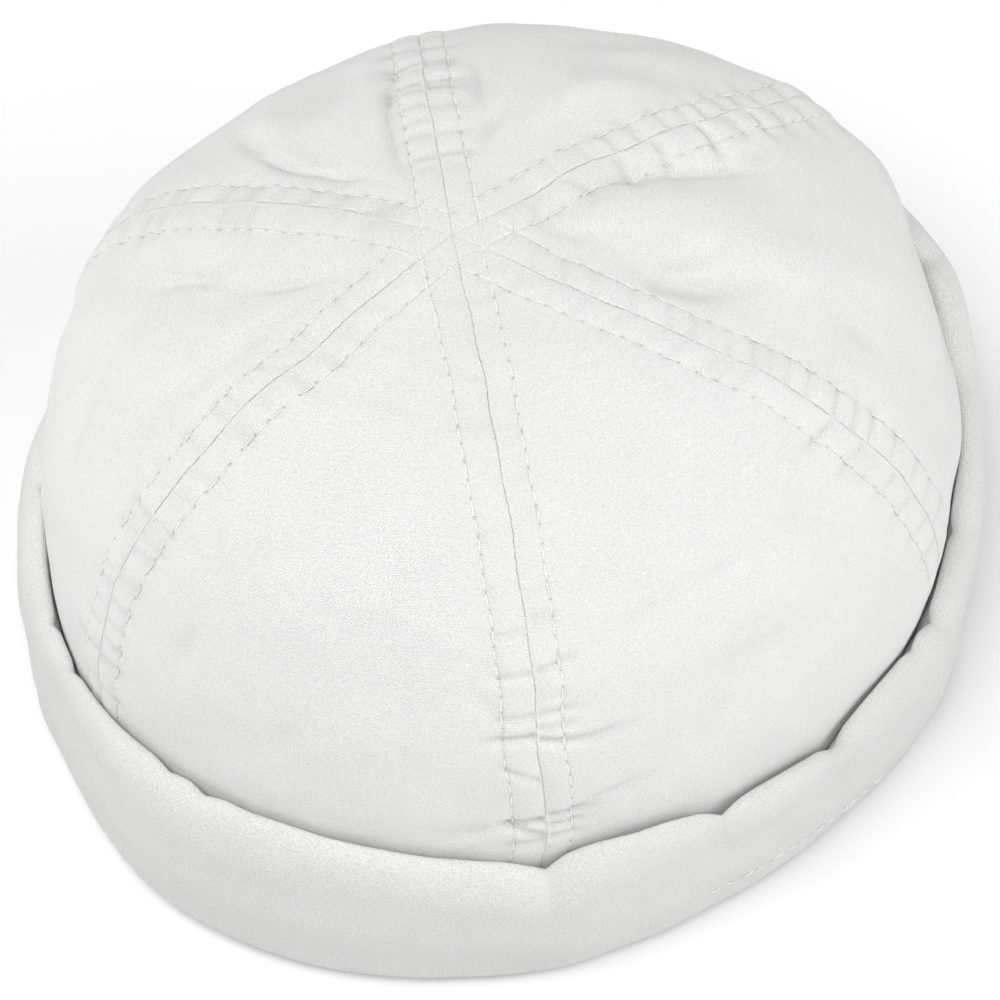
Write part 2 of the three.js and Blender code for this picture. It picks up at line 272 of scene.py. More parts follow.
SEAMS = (
    Seam(
        name="front_right", rim_deg=-35.3, top_deg=-28.7, panel="panel_right", seen_from=32.0, seed=11,
        before=6.5, after=5.3, lip=Side.AFTER, lip_height=0.03, join_painted_shade=0.58, thread=0.15,
        bows=(Bow(60.0, 4.0, 0.4), Bow(68.0, 5.0, -0.75), Bow(44.0, 9.0, 0.9)),
        runs=(),
        creases=crease_rows(
            Side.BEFORE, 0.0,
            (39.0, 0.65, 0.7, 2.0), (45.8, 0.90, 0.7, 2.0), (70.8, 0.8, 0.6, 3.0), (75.8, 0.5, 0.6, 2.0),
            (85.5, 0.55, 0.6, 1.5), (94.6, 0.35, 0.7, 1.0), (103.0, 0.15, 1.2, 0.5),
            (114.5, 0.12, 1.0, 0.5), (129.5, 0.12, 1.0, 0.5), (136.5, 0.15, 1.5, 0.5),
            (164.0, 0.2, 0.8, 0.5),
        ) + crease_rows(
            Side.BEFORE, 0.6,
            (40.5, 0.75, 0.7, 2.0), (58.5, 0.45, 0.7, 1.0), (145.0, 0.2, 0.8, 0.5),
        ) + crease_rows(
            Side.AFTER, 0.0,
            (40.0, 0.65, 0.7, 2.0), (43.6, 0.75, 0.7, 3.0), (47.0, 0.90, 0.7, 5.0),
            (72.5, 0.45, 0.6, 3.0), (76.0, 0.55, 0.7, 3.0), (79.8, 0.25, 0.6, 1.0),
            (95.0, 0.25, 0.7, 1.0), (96.8, 0.4, 0.6, 1.0), (102.0, 0.2, 1.0, 0.5),
            (116.5, 0.15, 1.0, 0.5), (124.5, 0.15, 1.0, 0.5), (135.0, 0.12, 1.0, 0.5),
            (163.0, 0.25, 0.8, 0.5),
        ) + crease_rows(
            Side.AFTER, -0.25,
            (69.8, 0.8, 0.6, 8.0),
        ) + crease_rows(
            Side.AFTER, 0.25,
            (85.5, 0.55, 0.6, 3.0),
        ),
    ),
    Seam(
        name="back_right", rim_deg=39.6, top_deg=22.0, panel="panel_back_right", seen_from=58.0, seed=23,
        before=6.5, after=6.5, lip=Side.AFTER, lip_height=0.12, join_painted_shade=0.22, thread=0.12,
        bows=(Bow(149.0, 6.0, -0.6), Bow(112.0, 18.0, 1.2)),
        runs=(PuckerRun(30.0, 50.0, 7.0, 0.4, 0.3, 4.0),),
        creases=crease_rows(
            Side.BEFORE, 0.1,
            (53.0, 0.35, 0.8, 3.0), (61.0, 0.35, 0.8, 3.0), (70.5, 0.35, 0.7, 3.0), (78.5, 0.4, 0.7, 2.0),
            (85.5, 0.3, 2.2, 2.0), (89.5, 0.55, 0.7, 3.0), (98.4, 0.65, 0.6, 3.0),
            (106.0, 0.15, 1.0, 1.0), (118.3, 0.25, 0.8, 1.0), (121.5, 0.3, 0.6, 1.0),
            (124.3, 0.35, 1.0, 1.0), (131.0, 0.3, 0.6, 1.0), (136.5, 0.15, 0.8, 1.0),
            (143.0, 0.25, 0.8, 1.0), (150.0, 0.15, 0.8, 1.0), (162.0, 0.25, 1.0, 1.0),
            (167.5, 0.2, 0.8, 0.5),
        ) + crease_rows(
            Side.AFTER, 0.33,
            (57.0, 0.35, 0.8, 2.0), (65.0, 0.35, 0.8, 2.0), (73.0, 0.35, 0.7, 2.0), (81.8, 0.4, 0.6, 2.0),
            (88.8, 0.5, 0.6, 2.0), (93.5, 0.45, 0.6, 2.0), (98.8, 0.55, 0.6, 2.0),
            (106.0, 0.45, 0.6, 2.0), (111.0, 0.4, 0.6, 2.0), (115.0, 0.3, 0.6, 1.0),
            (118.0, 0.4, 0.6, 1.0), (123.0, 0.35, 0.6, 1.0), (126.5, 0.2, 0.6, 1.0),
            (130.0, 0.35, 0.6, 1.0), (135.0, 0.3, 0.6, 1.0), (142.0, 0.3, 0.7, 1.0),
            (150.0, 0.2, 0.8, 1.0), (156.0, 0.2, 0.8, 1.0), (162.0, 0.25, 0.8, 1.0),
        ),
    ),
    Seam(
        name="back", rim_deg=101.2, top_deg=86.3, panel="panel_back_left", seen_from=98.0, seed=37,
        before=6.3, after=5.7, lip=Side.AFTER, lip_height=0.16, join_painted_shade=0.22, thread=0.13,
        bows=(
            Bow(152.0, 8.0, 1.4), Bow(122.0, 5.0, -1.0), Bow(103.0, 5.0, -0.5), Bow(131.0, 22.0, 0.9),
            Bow(109.5, 4.0, -1.5),
        ),
        runs=(PuckerRun(34.0, 82.0, 8.0, 0.5, -0.2, 5.0),),
        creases=crease_rows(
            Side.BEFORE, 0.0,
            (88.0, 0.5, 1.0, 5.0), (98.0, 0.5, 1.0, 5.0), (106.0, 0.45, 1.0, 4.0),
            (112.5, 0.75, 0.7, 3.0), (118.6, 0.5, 0.6, 2.0), (120.5, 0.25, 0.6, 1.0),
            (125.5, 0.8, 0.6, 4.0), (135.8, 0.65, 0.6, 4.0), (144.0, 0.55, 0.8, 3.0),
            (163.5, 0.25, 0.7, 1.0),
        ) + crease_rows(
            Side.BEFORE, -0.5,
            (155.8, 0.35, 0.7, 1.0),
        ) + crease_rows(
            Side.AFTER, -0.1,
            (90.0, 0.45, 0.8, 3.0), (98.0, 0.45, 0.8, 3.0), (107.0, 0.45, 0.8, 3.0),
            (113.0, 0.35, 0.7, 3.0), (117.8, 0.35, 0.6, 2.0), (122.7, 0.55, 0.6, 2.0),
            (127.0, 0.3, 0.6, 2.0), (131.5, 0.4, 0.6, 2.0), (138.0, 0.4, 0.6, 2.0),
            (143.0, 0.4, 0.7, 2.0), (149.0, 0.25, 0.7, 1.0), (156.0, 0.2, 0.7, 1.0),
        ),
    ),
    Seam(
        name="back_left", rim_deg=151.8, top_deg=147.7, panel="panel_left", seen_from=96.0, seed=41,
        before=5.4, after=5.8, lip=Side.BEFORE, lip_height=0.03, join_painted_shade=0.50, thread=0.14,
        bows=(Bow(138.0, 8.0, 0.45),),
        runs=(PuckerRun(34.0, 112.0, 6.5, 0.5, 0.05, 3.0),),
        creases=crease_rows(
            Side.BEFORE, 0.0,
            (117.3, 0.55, 1.2, 3.0), (124.8, 0.65, 1.6, 3.0), (127.4, 0.3, 0.6, 2.0),
            (133.6, 0.55, 0.6, 3.0), (136.3, 0.6, 1.2, 3.0), (143.5, 0.35, 1.2, 2.0),
            (151.0, 0.3, 0.6, 2.0), (156.6, 0.45, 0.6, 2.0), (161.0, 0.15, 0.8, 1.0),
        ) + crease_rows(
            Side.AFTER, 0.0,
            (116.0, 0.65, 1.2, 3.0), (124.5, 0.65, 1.0, 3.0), (127.6, 0.45, 0.6, 2.0),
            (134.0, 0.55, 0.8, 3.0), (136.6, 0.5, 0.7, 3.0), (142.0, 0.35, 0.7, 2.0),
            (146.8, 0.25, 0.7, 2.0), (150.6, 0.35, 0.7, 2.0), (157.0, 0.35, 0.7, 2.0),
            (160.3, 0.2, 0.7, 1.0),
        ),
    ),
    Seam(
        name="front_left", rim_deg=213.1, top_deg=213.5, panel="panel_front_left", seen_from=40.0,
        seed=53, before=5.5, after=7.3, lip=Side.BEFORE, lip_height=0.18, join_painted_shade=0.20, thread=0.12,
        bows=(Bow(145.0, 7.0, 0.3), Bow(130.0, 12.0, 0.6), Bow(160.0, 8.0, -0.4)),
        runs=(PuckerRun(34.0, 100.0, 8.0, 0.4, 0.2, 4.0),),
        creases=crease_rows(
            Side.BEFORE, 0.15,
            (106.0, 0.5, 1.6, 1.0), (111.0, 0.3, 0.7, 1.0), (115.6, 0.45, 1.2, 1.0),
            (120.0, 0.4, 1.0, 1.0), (129.6, 0.5, 1.4, 1.0), (135.6, 0.55, 1.9, 1.0),
            (143.0, 0.35, 1.2, 1.0), (148.6, 0.45, 1.3, 1.0), (154.4, 0.4, 1.5, 1.0),
            (163.0, 0.5, 1.9, 1.0),
        ) + crease_rows(
            Side.AFTER, 0.0,
            (104.0, 0.45, 1.2, 3.0), (111.5, 0.55, 0.7, 3.0), (116.5, 0.35, 0.8, 2.0),
            (121.0, 0.15, 0.8, 1.0), (125.0, 0.25, 1.5, 1.0), (132.6, 0.3, 0.6, 1.0),
            (136.0, 0.3, 2.0, 1.0), (139.4, 0.3, 0.6, 1.0), (148.0, 0.12, 1.0, 1.0),
            (157.0, 0.12, 1.0, 1.0), (164.0, 0.25, 1.2, 1.0),
        ),
    ),
    Seam(
        name="front", rim_deg=264.9, top_deg=277.3, panel="panel_front_right", seen_from=30.0, seed=67,
        before=4.9, after=5.7, lip=Side.BEFORE, lip_height=0.05, join_painted_shade=0.52, thread=0.12,
        bows=(Bow(143.0, 6.0, 0.6),),
        runs=(PuckerRun(28.0, 42.0, 7.0, 0.4, 0.0, 3.0),),
        creases=crease_rows(
            Side.BEFORE, 0.0,
            (47.5, 0.35, 0.8, 3.0), (58.0, 0.5, 1.0, 3.0), (66.5, 0.35, 0.7, 2.0), (72.5, 0.2, 0.8, 2.0),
            (78.8, 0.4, 1.2, 2.0), (83.0, 0.3, 0.6, 2.0), (93.6, 0.4, 0.6, 2.0), (96.3, 0.3, 2.2, 2.0),
            (99.2, 0.45, 0.6, 2.0), (106.0, 0.15, 0.8, 1.0), (116.6, 0.35, 0.7, 1.0),
            (124.6, 0.35, 0.8, 1.0), (128.2, 0.3, 0.6, 1.0), (143.8, 0.3, 0.6, 1.0),
            (146.3, 0.35, 0.6, 1.0), (155.0, 0.2, 0.8, 1.0),
        ) + crease_rows(
            Side.BEFORE, -0.8,
            (139.6, 0.4, 0.6, 1.0),
        ) + crease_rows(
            Side.AFTER, 0.0,
            (47.0, 0.35, 0.8, 3.0), (57.5, 0.5, 1.5, 3.0), (64.0, 0.35, 0.8, 2.0), (70.0, 0.2, 0.8, 2.0),
            (76.0, 0.35, 1.0, 2.0), (83.0, 0.4, 1.8, 2.0), (91.0, 0.4, 1.0, 2.0), (94.2, 0.3, 0.6, 2.0),
            (96.7, 0.35, 2.0, 2.0), (99.3, 0.3, 0.6, 2.0), (107.0, 0.25, 1.0, 1.0),
            (113.0, 0.2, 1.0, 1.0), (124.5, 0.4, 1.4, 1.0), (132.0, 0.15, 1.0, 1.0),
            (138.6, 0.55, 0.6, 2.0), (145.5, 0.4, 0.8, 1.0), (152.0, 0.15, 1.0, 1.0),
            (160.0, 0.2, 1.0, 1.0),
        ),
    ),
)


@dataclass(frozen=True)
class Hollow:
    """A soft hollow or crease of the crown's cloth.

    Attributes:
        deg: Plan angle of its middle.
        level: Level of its middle, 0 at the rim and 1 at the apex.
        length: Half length.
        width: Half width.
        rise_deg: Way of its length, from level (0) to rising (90).
        depth: Depth, or height where negative.
    """

    deg: float
    level: float
    length: float
    width: float
    rise_deg: float
    depth: float


HOLLOWS = (
    Hollow(184.0, 0.77, 22.0, 7.0, 60.0, 2.0),
    Hollow(242.0, 0.77, 20.0, 7.0, 50.0, 1.6),
    Hollow(78.0, 0.74, 18.0, 6.0, 75.0, 2.0),
    Hollow(56.0, 0.92, 7.0, 3.5, 30.0, 1.0),
    Hollow(46.0, 0.74, 26.0, 9.0, 85.0, 1.4),
    Hollow(112.0, 0.66, 16.0, 7.0, 20.0, 1.4),
    Hollow(297.0, 0.38, 26.0, 10.0, 10.0, 1.2),
    Hollow(353.0, 0.25, 28.0, 9.0, 15.0, 1.4),
    Hollow(132.0, 0.30, 26.0, 9.0, 12.0, 1.3),
    Hollow(190.0, 0.27, 28.0, 9.0, 168.0, 1.4),
    Hollow(169.0, 0.51, 16.0, 12.0, 90.0, 1.6),
    Hollow(69.0, 0.28, 16.0, 10.0, 20.0, 2.0),
    Hollow(56.0, 0.17, 16.0, 12.0, 0.0, -1.4),
    Hollow(84.0, 0.38, 13.0, 11.0, 0.0, -3.7),
    Hollow(96.0, 0.43, 11.0, 10.0, 0.0, -2.6),
    Hollow(209.0, 0.44, 30.0, 14.0, 20.0, -1.8),
    Hollow(111.0, 0.45, 13.0, 9.0, 0.0, -0.9),
    Hollow(29.0, 0.13, 18.0, 15.0, 0.0, -2.2),
    Hollow(221.0, 0.41, 12.0, 10.0, 0.0, -1.8),
    Hollow(204.0, 0.46, 15.0, 9.0, 0.0, -0.5),
    Hollow(184.0, 0.50, 9.0, 8.0, 0.0, 0.7),
)

SOFT_CREASES = (
    Hollow(192.0, 0.673, 8.5, 3.4, 68.0, 2.10),
    Hollow(196.5, 0.773, 6.0, 2.1, 88.0, 1.85),
    Hollow(190.5, 0.855, 8.0, 1.6, 118.0, 1.50),
    Hollow(183.5, 0.718, 8.3, 7.8, 100.0, -1.90),
    Hollow(161.5, 0.806, 16.9, 1.5, 71.0, 1.70),
    Hollow(167.0, 0.663, 9.3, 5.8, 58.0, 1.60),
    Hollow(236.5, 0.736, 8.2, 1.8, 49.0, 1.05),
    Hollow(249.0, 0.853, 7.5, 1.9, 67.0, 1.35),
    Hollow(224.5, 0.384, 3.9, 6.4, 147.0, 1.35),
    Hollow(252.0, 0.614, 8.9, 5.6, 176.0, -0.75),
    Hollow(135.5, 0.768, 7.7, 1.6, 103.0, 1.20),
    Hollow(128.5, 0.858, 5.0, 1.5, 80.0, 1.20),
    Hollow(111.5, 0.771, 10.2, 4.8, 71.0, -1.80),
    Hollow(120.0, 0.590, 10.0, 6.5, 52.0, 1.70),
    Hollow(82.0, 0.818, 5.5, 1.5, 91.0, 1.35),
    Hollow(79.5, 0.733, 8.3, 1.5, 82.0, 1.80),
    Hollow(81.0, 0.651, 3.4, 1.5, 108.0, 0.90),
    Hollow(75.0, 0.890, 9.0, 1.5, 104.0, 0.90),
    Hollow(44.5, 0.743, 8.6, 1.9, 105.0, 1.56),
    Hollow(56.0, 0.663, 13.5, 6.5, 82.0, -1.80),
    Hollow(47.5, 0.511, 7.0, 1.8, 87.0, 0.55),
    Hollow(41.0, 0.793, 4.5, 2.1, 77.0, 0.75),
    Hollow(311.5, 0.559, 8.0, 2.9, 37.0, 1.40),
    Hollow(305.5, 0.476, 7.0, 2.9, 52.0, 1.30),
    Hollow(282.0, 0.352, 6.5, 3.0, 79.0, 1.25),
    Hollow(294.5, 0.260, 6.0, 3.0, 54.0, 1.25),
    Hollow(279.0, 0.589, 6.5, 3.2, 100.0, 0.90),
    Hollow(359.0, 0.439, 14.0, 3.4, 178.0, 1.40),
    Hollow(19.0, 0.417, 11.0, 3.2, 158.0, 1.30),
    Hollow(354.5, 0.292, 14.0, 4.6, 174.0, 1.40),
    Hollow(344.5, 0.427, 8.0, 3.2, 10.0, 1.10),
    Hollow(336.0, 0.279, 4.8, 1.5, 0.0, 0.90),
    Hollow(335.0, 0.175, 5.6, 1.5, 10.0, 0.90),
    Hollow(317.0, 0.145, 4.9, 2.1, 9.0, 0.78),
    Hollow(320.5, 0.362, 3.5, 1.5, 121.0, 0.68),
    Hollow(260.5, 0.793, 9.0, 2.7, 97.0, 1.25),
    Hollow(261.0, 0.696, 8.5, 2.9, 85.0, 1.35),
    Hollow(261.5, 0.609, 7.5, 3.3, 108.0, 1.10),
    Hollow(243.0, 0.539, 8.0, 4.2, 108.0, 1.10),
    Hollow(247.0, 0.481, 7.0, 4.8, 122.0, 1.20),
    Hollow(249.5, 0.419, 7.0, 4.9, 120.0, 1.00),
    Hollow(234.5, 0.691, 6.8, 2.3, 84.0, 0.90),
    Hollow(235.5, 0.771, 3.8, 1.4, 81.0, 0.60),
    Hollow(58.0, 0.903, 5.1, 1.0, 82.0, 0.80),
    Hollow(50.5, 0.778, 4.9, 1.6, 110.0, 0.78),
    Hollow(42.0, 0.753, 5.2, 2.1, 90.0, 0.78),
)


@dataclass(frozen=True)
class CrownForm:
    """Smooth outside of the crown: a superellipse from rim to apex, swollen at half height.

    Attributes:
        rim_length: Length of the rim's oval, from front to back.
        rim_width: Its width.
        height: Height of the apex.
        side_power: Power of the superellipse sideways.
        top_power: Its power upwards.
        swell: How much wider the crown is at half height, as a share.
        lean_share: How far it leans to one side there, as a share.
        lean_deg: Plan angle of that side.
        squeeze_share: How far it is pressed in from two sides there, as a share.
        squeeze_deg: Plan angle of one of them.
        apex_shift: How far the apex is moved aside.
        profile_steps: Steps in which the cloth's length is measured.
        deg_step: Plan angle from a place to its neighbours, for normals.
        level_step: Levels from a place to its neighbours, likewise.
    """

    rim_length: float = 199.0
    rim_width: float = 172.0
    height: float = 117.8
    side_power: float = 2.71
    top_power: float = 3.05
    swell: float = 0.096
    lean_share: float = 0.05
    lean_deg: float = 117.0
    squeeze_share: float = 0.013
    squeeze_deg: float = 36.0
    apex_shift: Pair = (-7.5, -11.5)
    profile_steps: int = 2000
    deg_step: float = 0.5
    level_step: float = 0.002

    def rim_radius(self, deg: Array) -> Array:
        """Radius of the rim's oval at plan angles."""
        turn = np.radians(deg)
        return 1.0 / np.hypot(np.sin(turn) / (self.rim_length / 2), np.cos(turn) / (self.rim_width / 2))

    def round_from(self, place: float, deg: Array) -> Array:
        """Signed distance round the rim from one plan angle to others."""
        return np.radians(turn_between(deg, place)) * self.rim_radius(np.array(place))

    def radius(self, deg: Array, level: Array) -> Array:
        """Plan radius of the crown round its own leaning middle."""
        turn = np.asarray(level) * math.pi / 2
        middle = np.sin(math.pi * np.asarray(level))
        lean = self.lean_share * np.cos(np.radians(deg - self.lean_deg))
        squeeze = self.squeeze_share * np.cos(np.radians(2.0 * (deg - self.squeeze_deg)))
        fullness = np.cos(turn) ** (2.0 / self.side_power) * (1.0 + self.swell * middle)
        return self.rim_radius(deg) * fullness * (1.0 + (lean - squeeze) * middle)

    def point(self, deg: Array, level: Array) -> Array:
        """Places of the smooth crown.

        Args:
            deg: Plan angles.
            level: Levels, 0 at the rim and 1 at the apex.

        Returns:
            Points, with x, y and z along the last axis.
        """
        deg, level = np.broadcast_arrays(np.asarray(deg, float), np.asarray(level, float))
        rise = np.sin(level * math.pi / 2) ** (2.0 / self.top_power)
        radius = self.radius(deg, level)
        turn = np.radians(deg)
        x = radius * np.cos(turn) + self.apex_shift[0] * rise**2
        y = radius * np.sin(turn) + self.apex_shift[1] * rise**2
        return np.stack([x, y, self.height * rise], axis=-1)

    def normal(self, deg: Array, level: Array) -> Array:
        """Outward unit normals of the smooth crown."""
        step = np.minimum(self.level_step, (1.0 - np.asarray(level)) / 2)
        east = self.point(deg + self.deg_step, level) - self.point(deg - self.deg_step, level)
        north = self.point(deg, level + step) - self.point(deg, np.maximum(level - step, 0.0))
        return unit(np.cross(east, north))

    @cached_property
    def profile(self) -> tuple[Array, Array]:
        """Levels up the crown and the cloth's length from the rim to each."""
        levels = np.linspace(0.0, 1.0, self.profile_steps + 1)
        points = self.point(np.zeros_like(levels), levels)
        runs = np.linalg.norm(np.diff(points, axis=0), axis=1)
        return levels, np.concatenate([[0.0], np.cumsum(runs)])

    @property
    def length(self) -> float:
        """Length of cloth from the rim to the apex."""
        return float(self.profile[1][-1])

    def length_at(self, level: Array) -> Array:
        """Length of cloth from the rim up to levels."""
        return np.interp(level, *self.profile)

    def level_at(self, length: Array) -> Array:
        """Levels at lengths of cloth from the rim."""
        return np.interp(length, self.profile[1], self.profile[0])

    def level_at_height(self, height: Array) -> Array:
        """Levels at heights over the ground."""
        share = np.clip(np.asarray(height) / self.height, 0.0, 1.0)
        return np.arcsin(share ** (self.top_power / 2)) * 2.0 / math.pi


@dataclass
class SeamLine:
    """Where one seam runs on the crown, with the creases that its stitching draws up.

    Attributes:
        form: The crown's smooth form.
        seam: The seam.
        wander: How far it wanders from its even line.
        wander_waves: Shortest and longest wave of that, and how many are added up.
        saw: How far each stitch of the join pulls it aside.
        saw_pitch: Room from one such pull to the next.
        apex_steady: From the apex, where it starts to leave its even line and where it does so wholly.
        least_radius: Smallest radius at which a shift is turned into an angle.
        offset_room: Smallest radius for a row beside the apex, as a share of its offset.
        widest_turn: Plan angle from the seam past which cloth isn't beside it.
        run_seed: What the random draws of the gathered stretches add to the seam's seed.
        run_width: Half width of their creases.
        first_spread: Least and most room before a stretch's first crease, in pitches.
        pitch_spread: Least and most room from crease to crease, in pitches.
        depth_spread: Least and most depth, as shares of the stretch's.
        slant_spread: Least and most slant, likewise.
        slant_noise: Unevenness of the slant.
        reach_spread: Least and most reach, as shares of the stretch's.
        near: Distance from the seam past which no crease counts.
        full_from: Distance from the seam where a crease has its whole depth.
        fan: Distance past the topstitching where a crease is twice as wide.
        pull: How deep the cloth is drawn for each millimetre of a crease's depth.
        pull_least: Half width of the drawn cloth at a crease of no width.
        pull_width: How much wider it is for each millimetre of the crease's half width.
        painted_shade_width: Half width of the painted shade along a crease's sharp middle, likewise.
    """

    form: CrownForm
    seam: Seam
    wander: float = 0.18
    wander_waves: tuple[float, float, int] = (8.0, 34.0, 9)
    saw: float = 0.04
    saw_pitch: float = 2.9
    apex_steady: Pair = (1.0, 12.0)
    least_radius: float = 1.0
    offset_room: float = 1.001
    widest_turn: float = 89.0
    run_seed: int = 1000
    run_width: float = 0.8
    first_spread: Pair = (0.0, 0.8)
    pitch_spread: Pair = (0.62, 1.38)
    depth_spread: Pair = (0.45, 1.15)
    slant_spread: Pair = (0.5, 1.4)
    slant_noise: float = 0.12
    reach_spread: Pair = (0.4, 1.3)
    near: float = 40.0
    full_from: float = 0.8
    fan: float = 10.0
    pull: float = 1.5
    pull_least: float = 0.45
    pull_width: float = 1.1
    painted_shade_width: float = 1.4

    def row_offset(self, side: Side) -> float:
        """Distance of the topstitching on one side."""
        return self.seam.before if side is Side.BEFORE else self.seam.after

    def row_away(self, distance: Array) -> Array:
        """Distance of the topstitching on the side of each signed distance."""
        return np.where(distance < 0.0, self.seam.before, self.seam.after)

    @cached_property
    def drift(self) -> Unevenness:
        """Slow wandering of the seam from its even line."""
        return Unevenness(self.seam.seed, *self.wander_waves)

    def deg_at(self, level: Array) -> Array:
        """Plan angle of the seam at levels."""
        level = np.asarray(level, float)
        even = self.seam.rim_deg + (self.seam.top_deg - self.seam.rim_deg) * level
        length = self.form.length_at(level)
        shift = self.wander * self.drift.along(length)
        shift = shift + self.saw * np.sin(2.0 * math.pi * length / self.saw_pitch)
        for bow in self.seam.bows:
            shift = shift + bow.shift * np.exp(-(((length - bow.place) / bow.half) ** 2))
        steady = smoothstep(self.form.length - length, *self.apex_steady)
        radius = np.maximum(self.form.radius(even, level), self.least_radius)
        return even + np.degrees(shift * steady / radius)

    def across(self, deg: Array, level: Array) -> Array:
        """Signed distance from the seam, far away where it isn't this seam's cloth."""
        turn = turn_between(deg, self.deg_at(level))
        beside = np.radians(np.clip(turn, -self.widest_turn, self.widest_turn))
        return np.where(np.abs(turn) < self.widest_turn, self.form.radius(deg, level) * np.sin(beside), FAR)

    def deg_beside(self, level: Array, offset: Array) -> Array:
        """Plan angle at a signed distance from the seam."""
        middle = self.deg_at(level)
        radius = np.maximum(self.form.radius(middle, level), np.abs(offset) * self.offset_room)
        return middle + np.degrees(np.arcsin(offset / radius))

    @cached_property
    def creases(self) -> list[Crease]:
        """Every crease beside the seam."""
        draw = np.random.default_rng(self.seam.seed + self.run_seed)
        made = list(self.seam.creases)
        for side in Side:
            for run in self.seam.runs:
                place = run.start + run.pitch * draw.uniform(*self.first_spread)
                while place < run.stop:
                    depth = run.depth * draw.uniform(*self.depth_spread)
                    slant = run.slant * draw.uniform(*self.slant_spread) + draw.normal() * self.slant_noise
                    reach = run.reach * draw.uniform(*self.reach_spread)
                    made.append(Crease(side, place, depth, self.run_width, slant, reach))
                    place += run.pitch * draw.uniform(*self.pitch_spread)
        return made

    def gathers(self, distance: Array, length: Array) -> tuple[Array, Array]:
        """Depth of the creases beside the seam.

        Args:
            distance: Signed distances from the seam.
            length: Lengths of cloth from the rim.

        Returns:
            Depth of the cloth under its smooth place, and how much painted shade each place gets from a
            crease's sharp middle.
        """
        depth, sharp = np.zeros((2, *distance.shape))
        near = np.abs(distance) < self.near
        away = np.abs(distance[near])
        beside = np.sign(distance[near])
        along = length[near]
        past = np.maximum(away - self.row_away(distance[near]), 0.0)
        pulled, painted_share = np.zeros((2, *away.shape))
        for crease in self.creases:
            gap = np.abs(along - crease.place - crease.slant * away) / (1.0 + past / self.fan)
            fade = smoothstep(away, 0.0, self.full_from) * np.exp(-((past / crease.reach) ** 2))
            fade = np.where(beside == crease.side.value, crease.depth * fade, 0.0)
            drawn = self.pull_least + self.pull_width * crease.width
            pulled += self.pull * fade * np.exp(-((gap / drawn) ** 2))
            # Painted shade along each crease's sharp middle.
            painted_share += fade * np.exp(-((gap / (self.painted_shade_width * crease.width)) ** 2))
        depth[near] = pulled
        sharp[near] = painted_share
        return depth, sharp


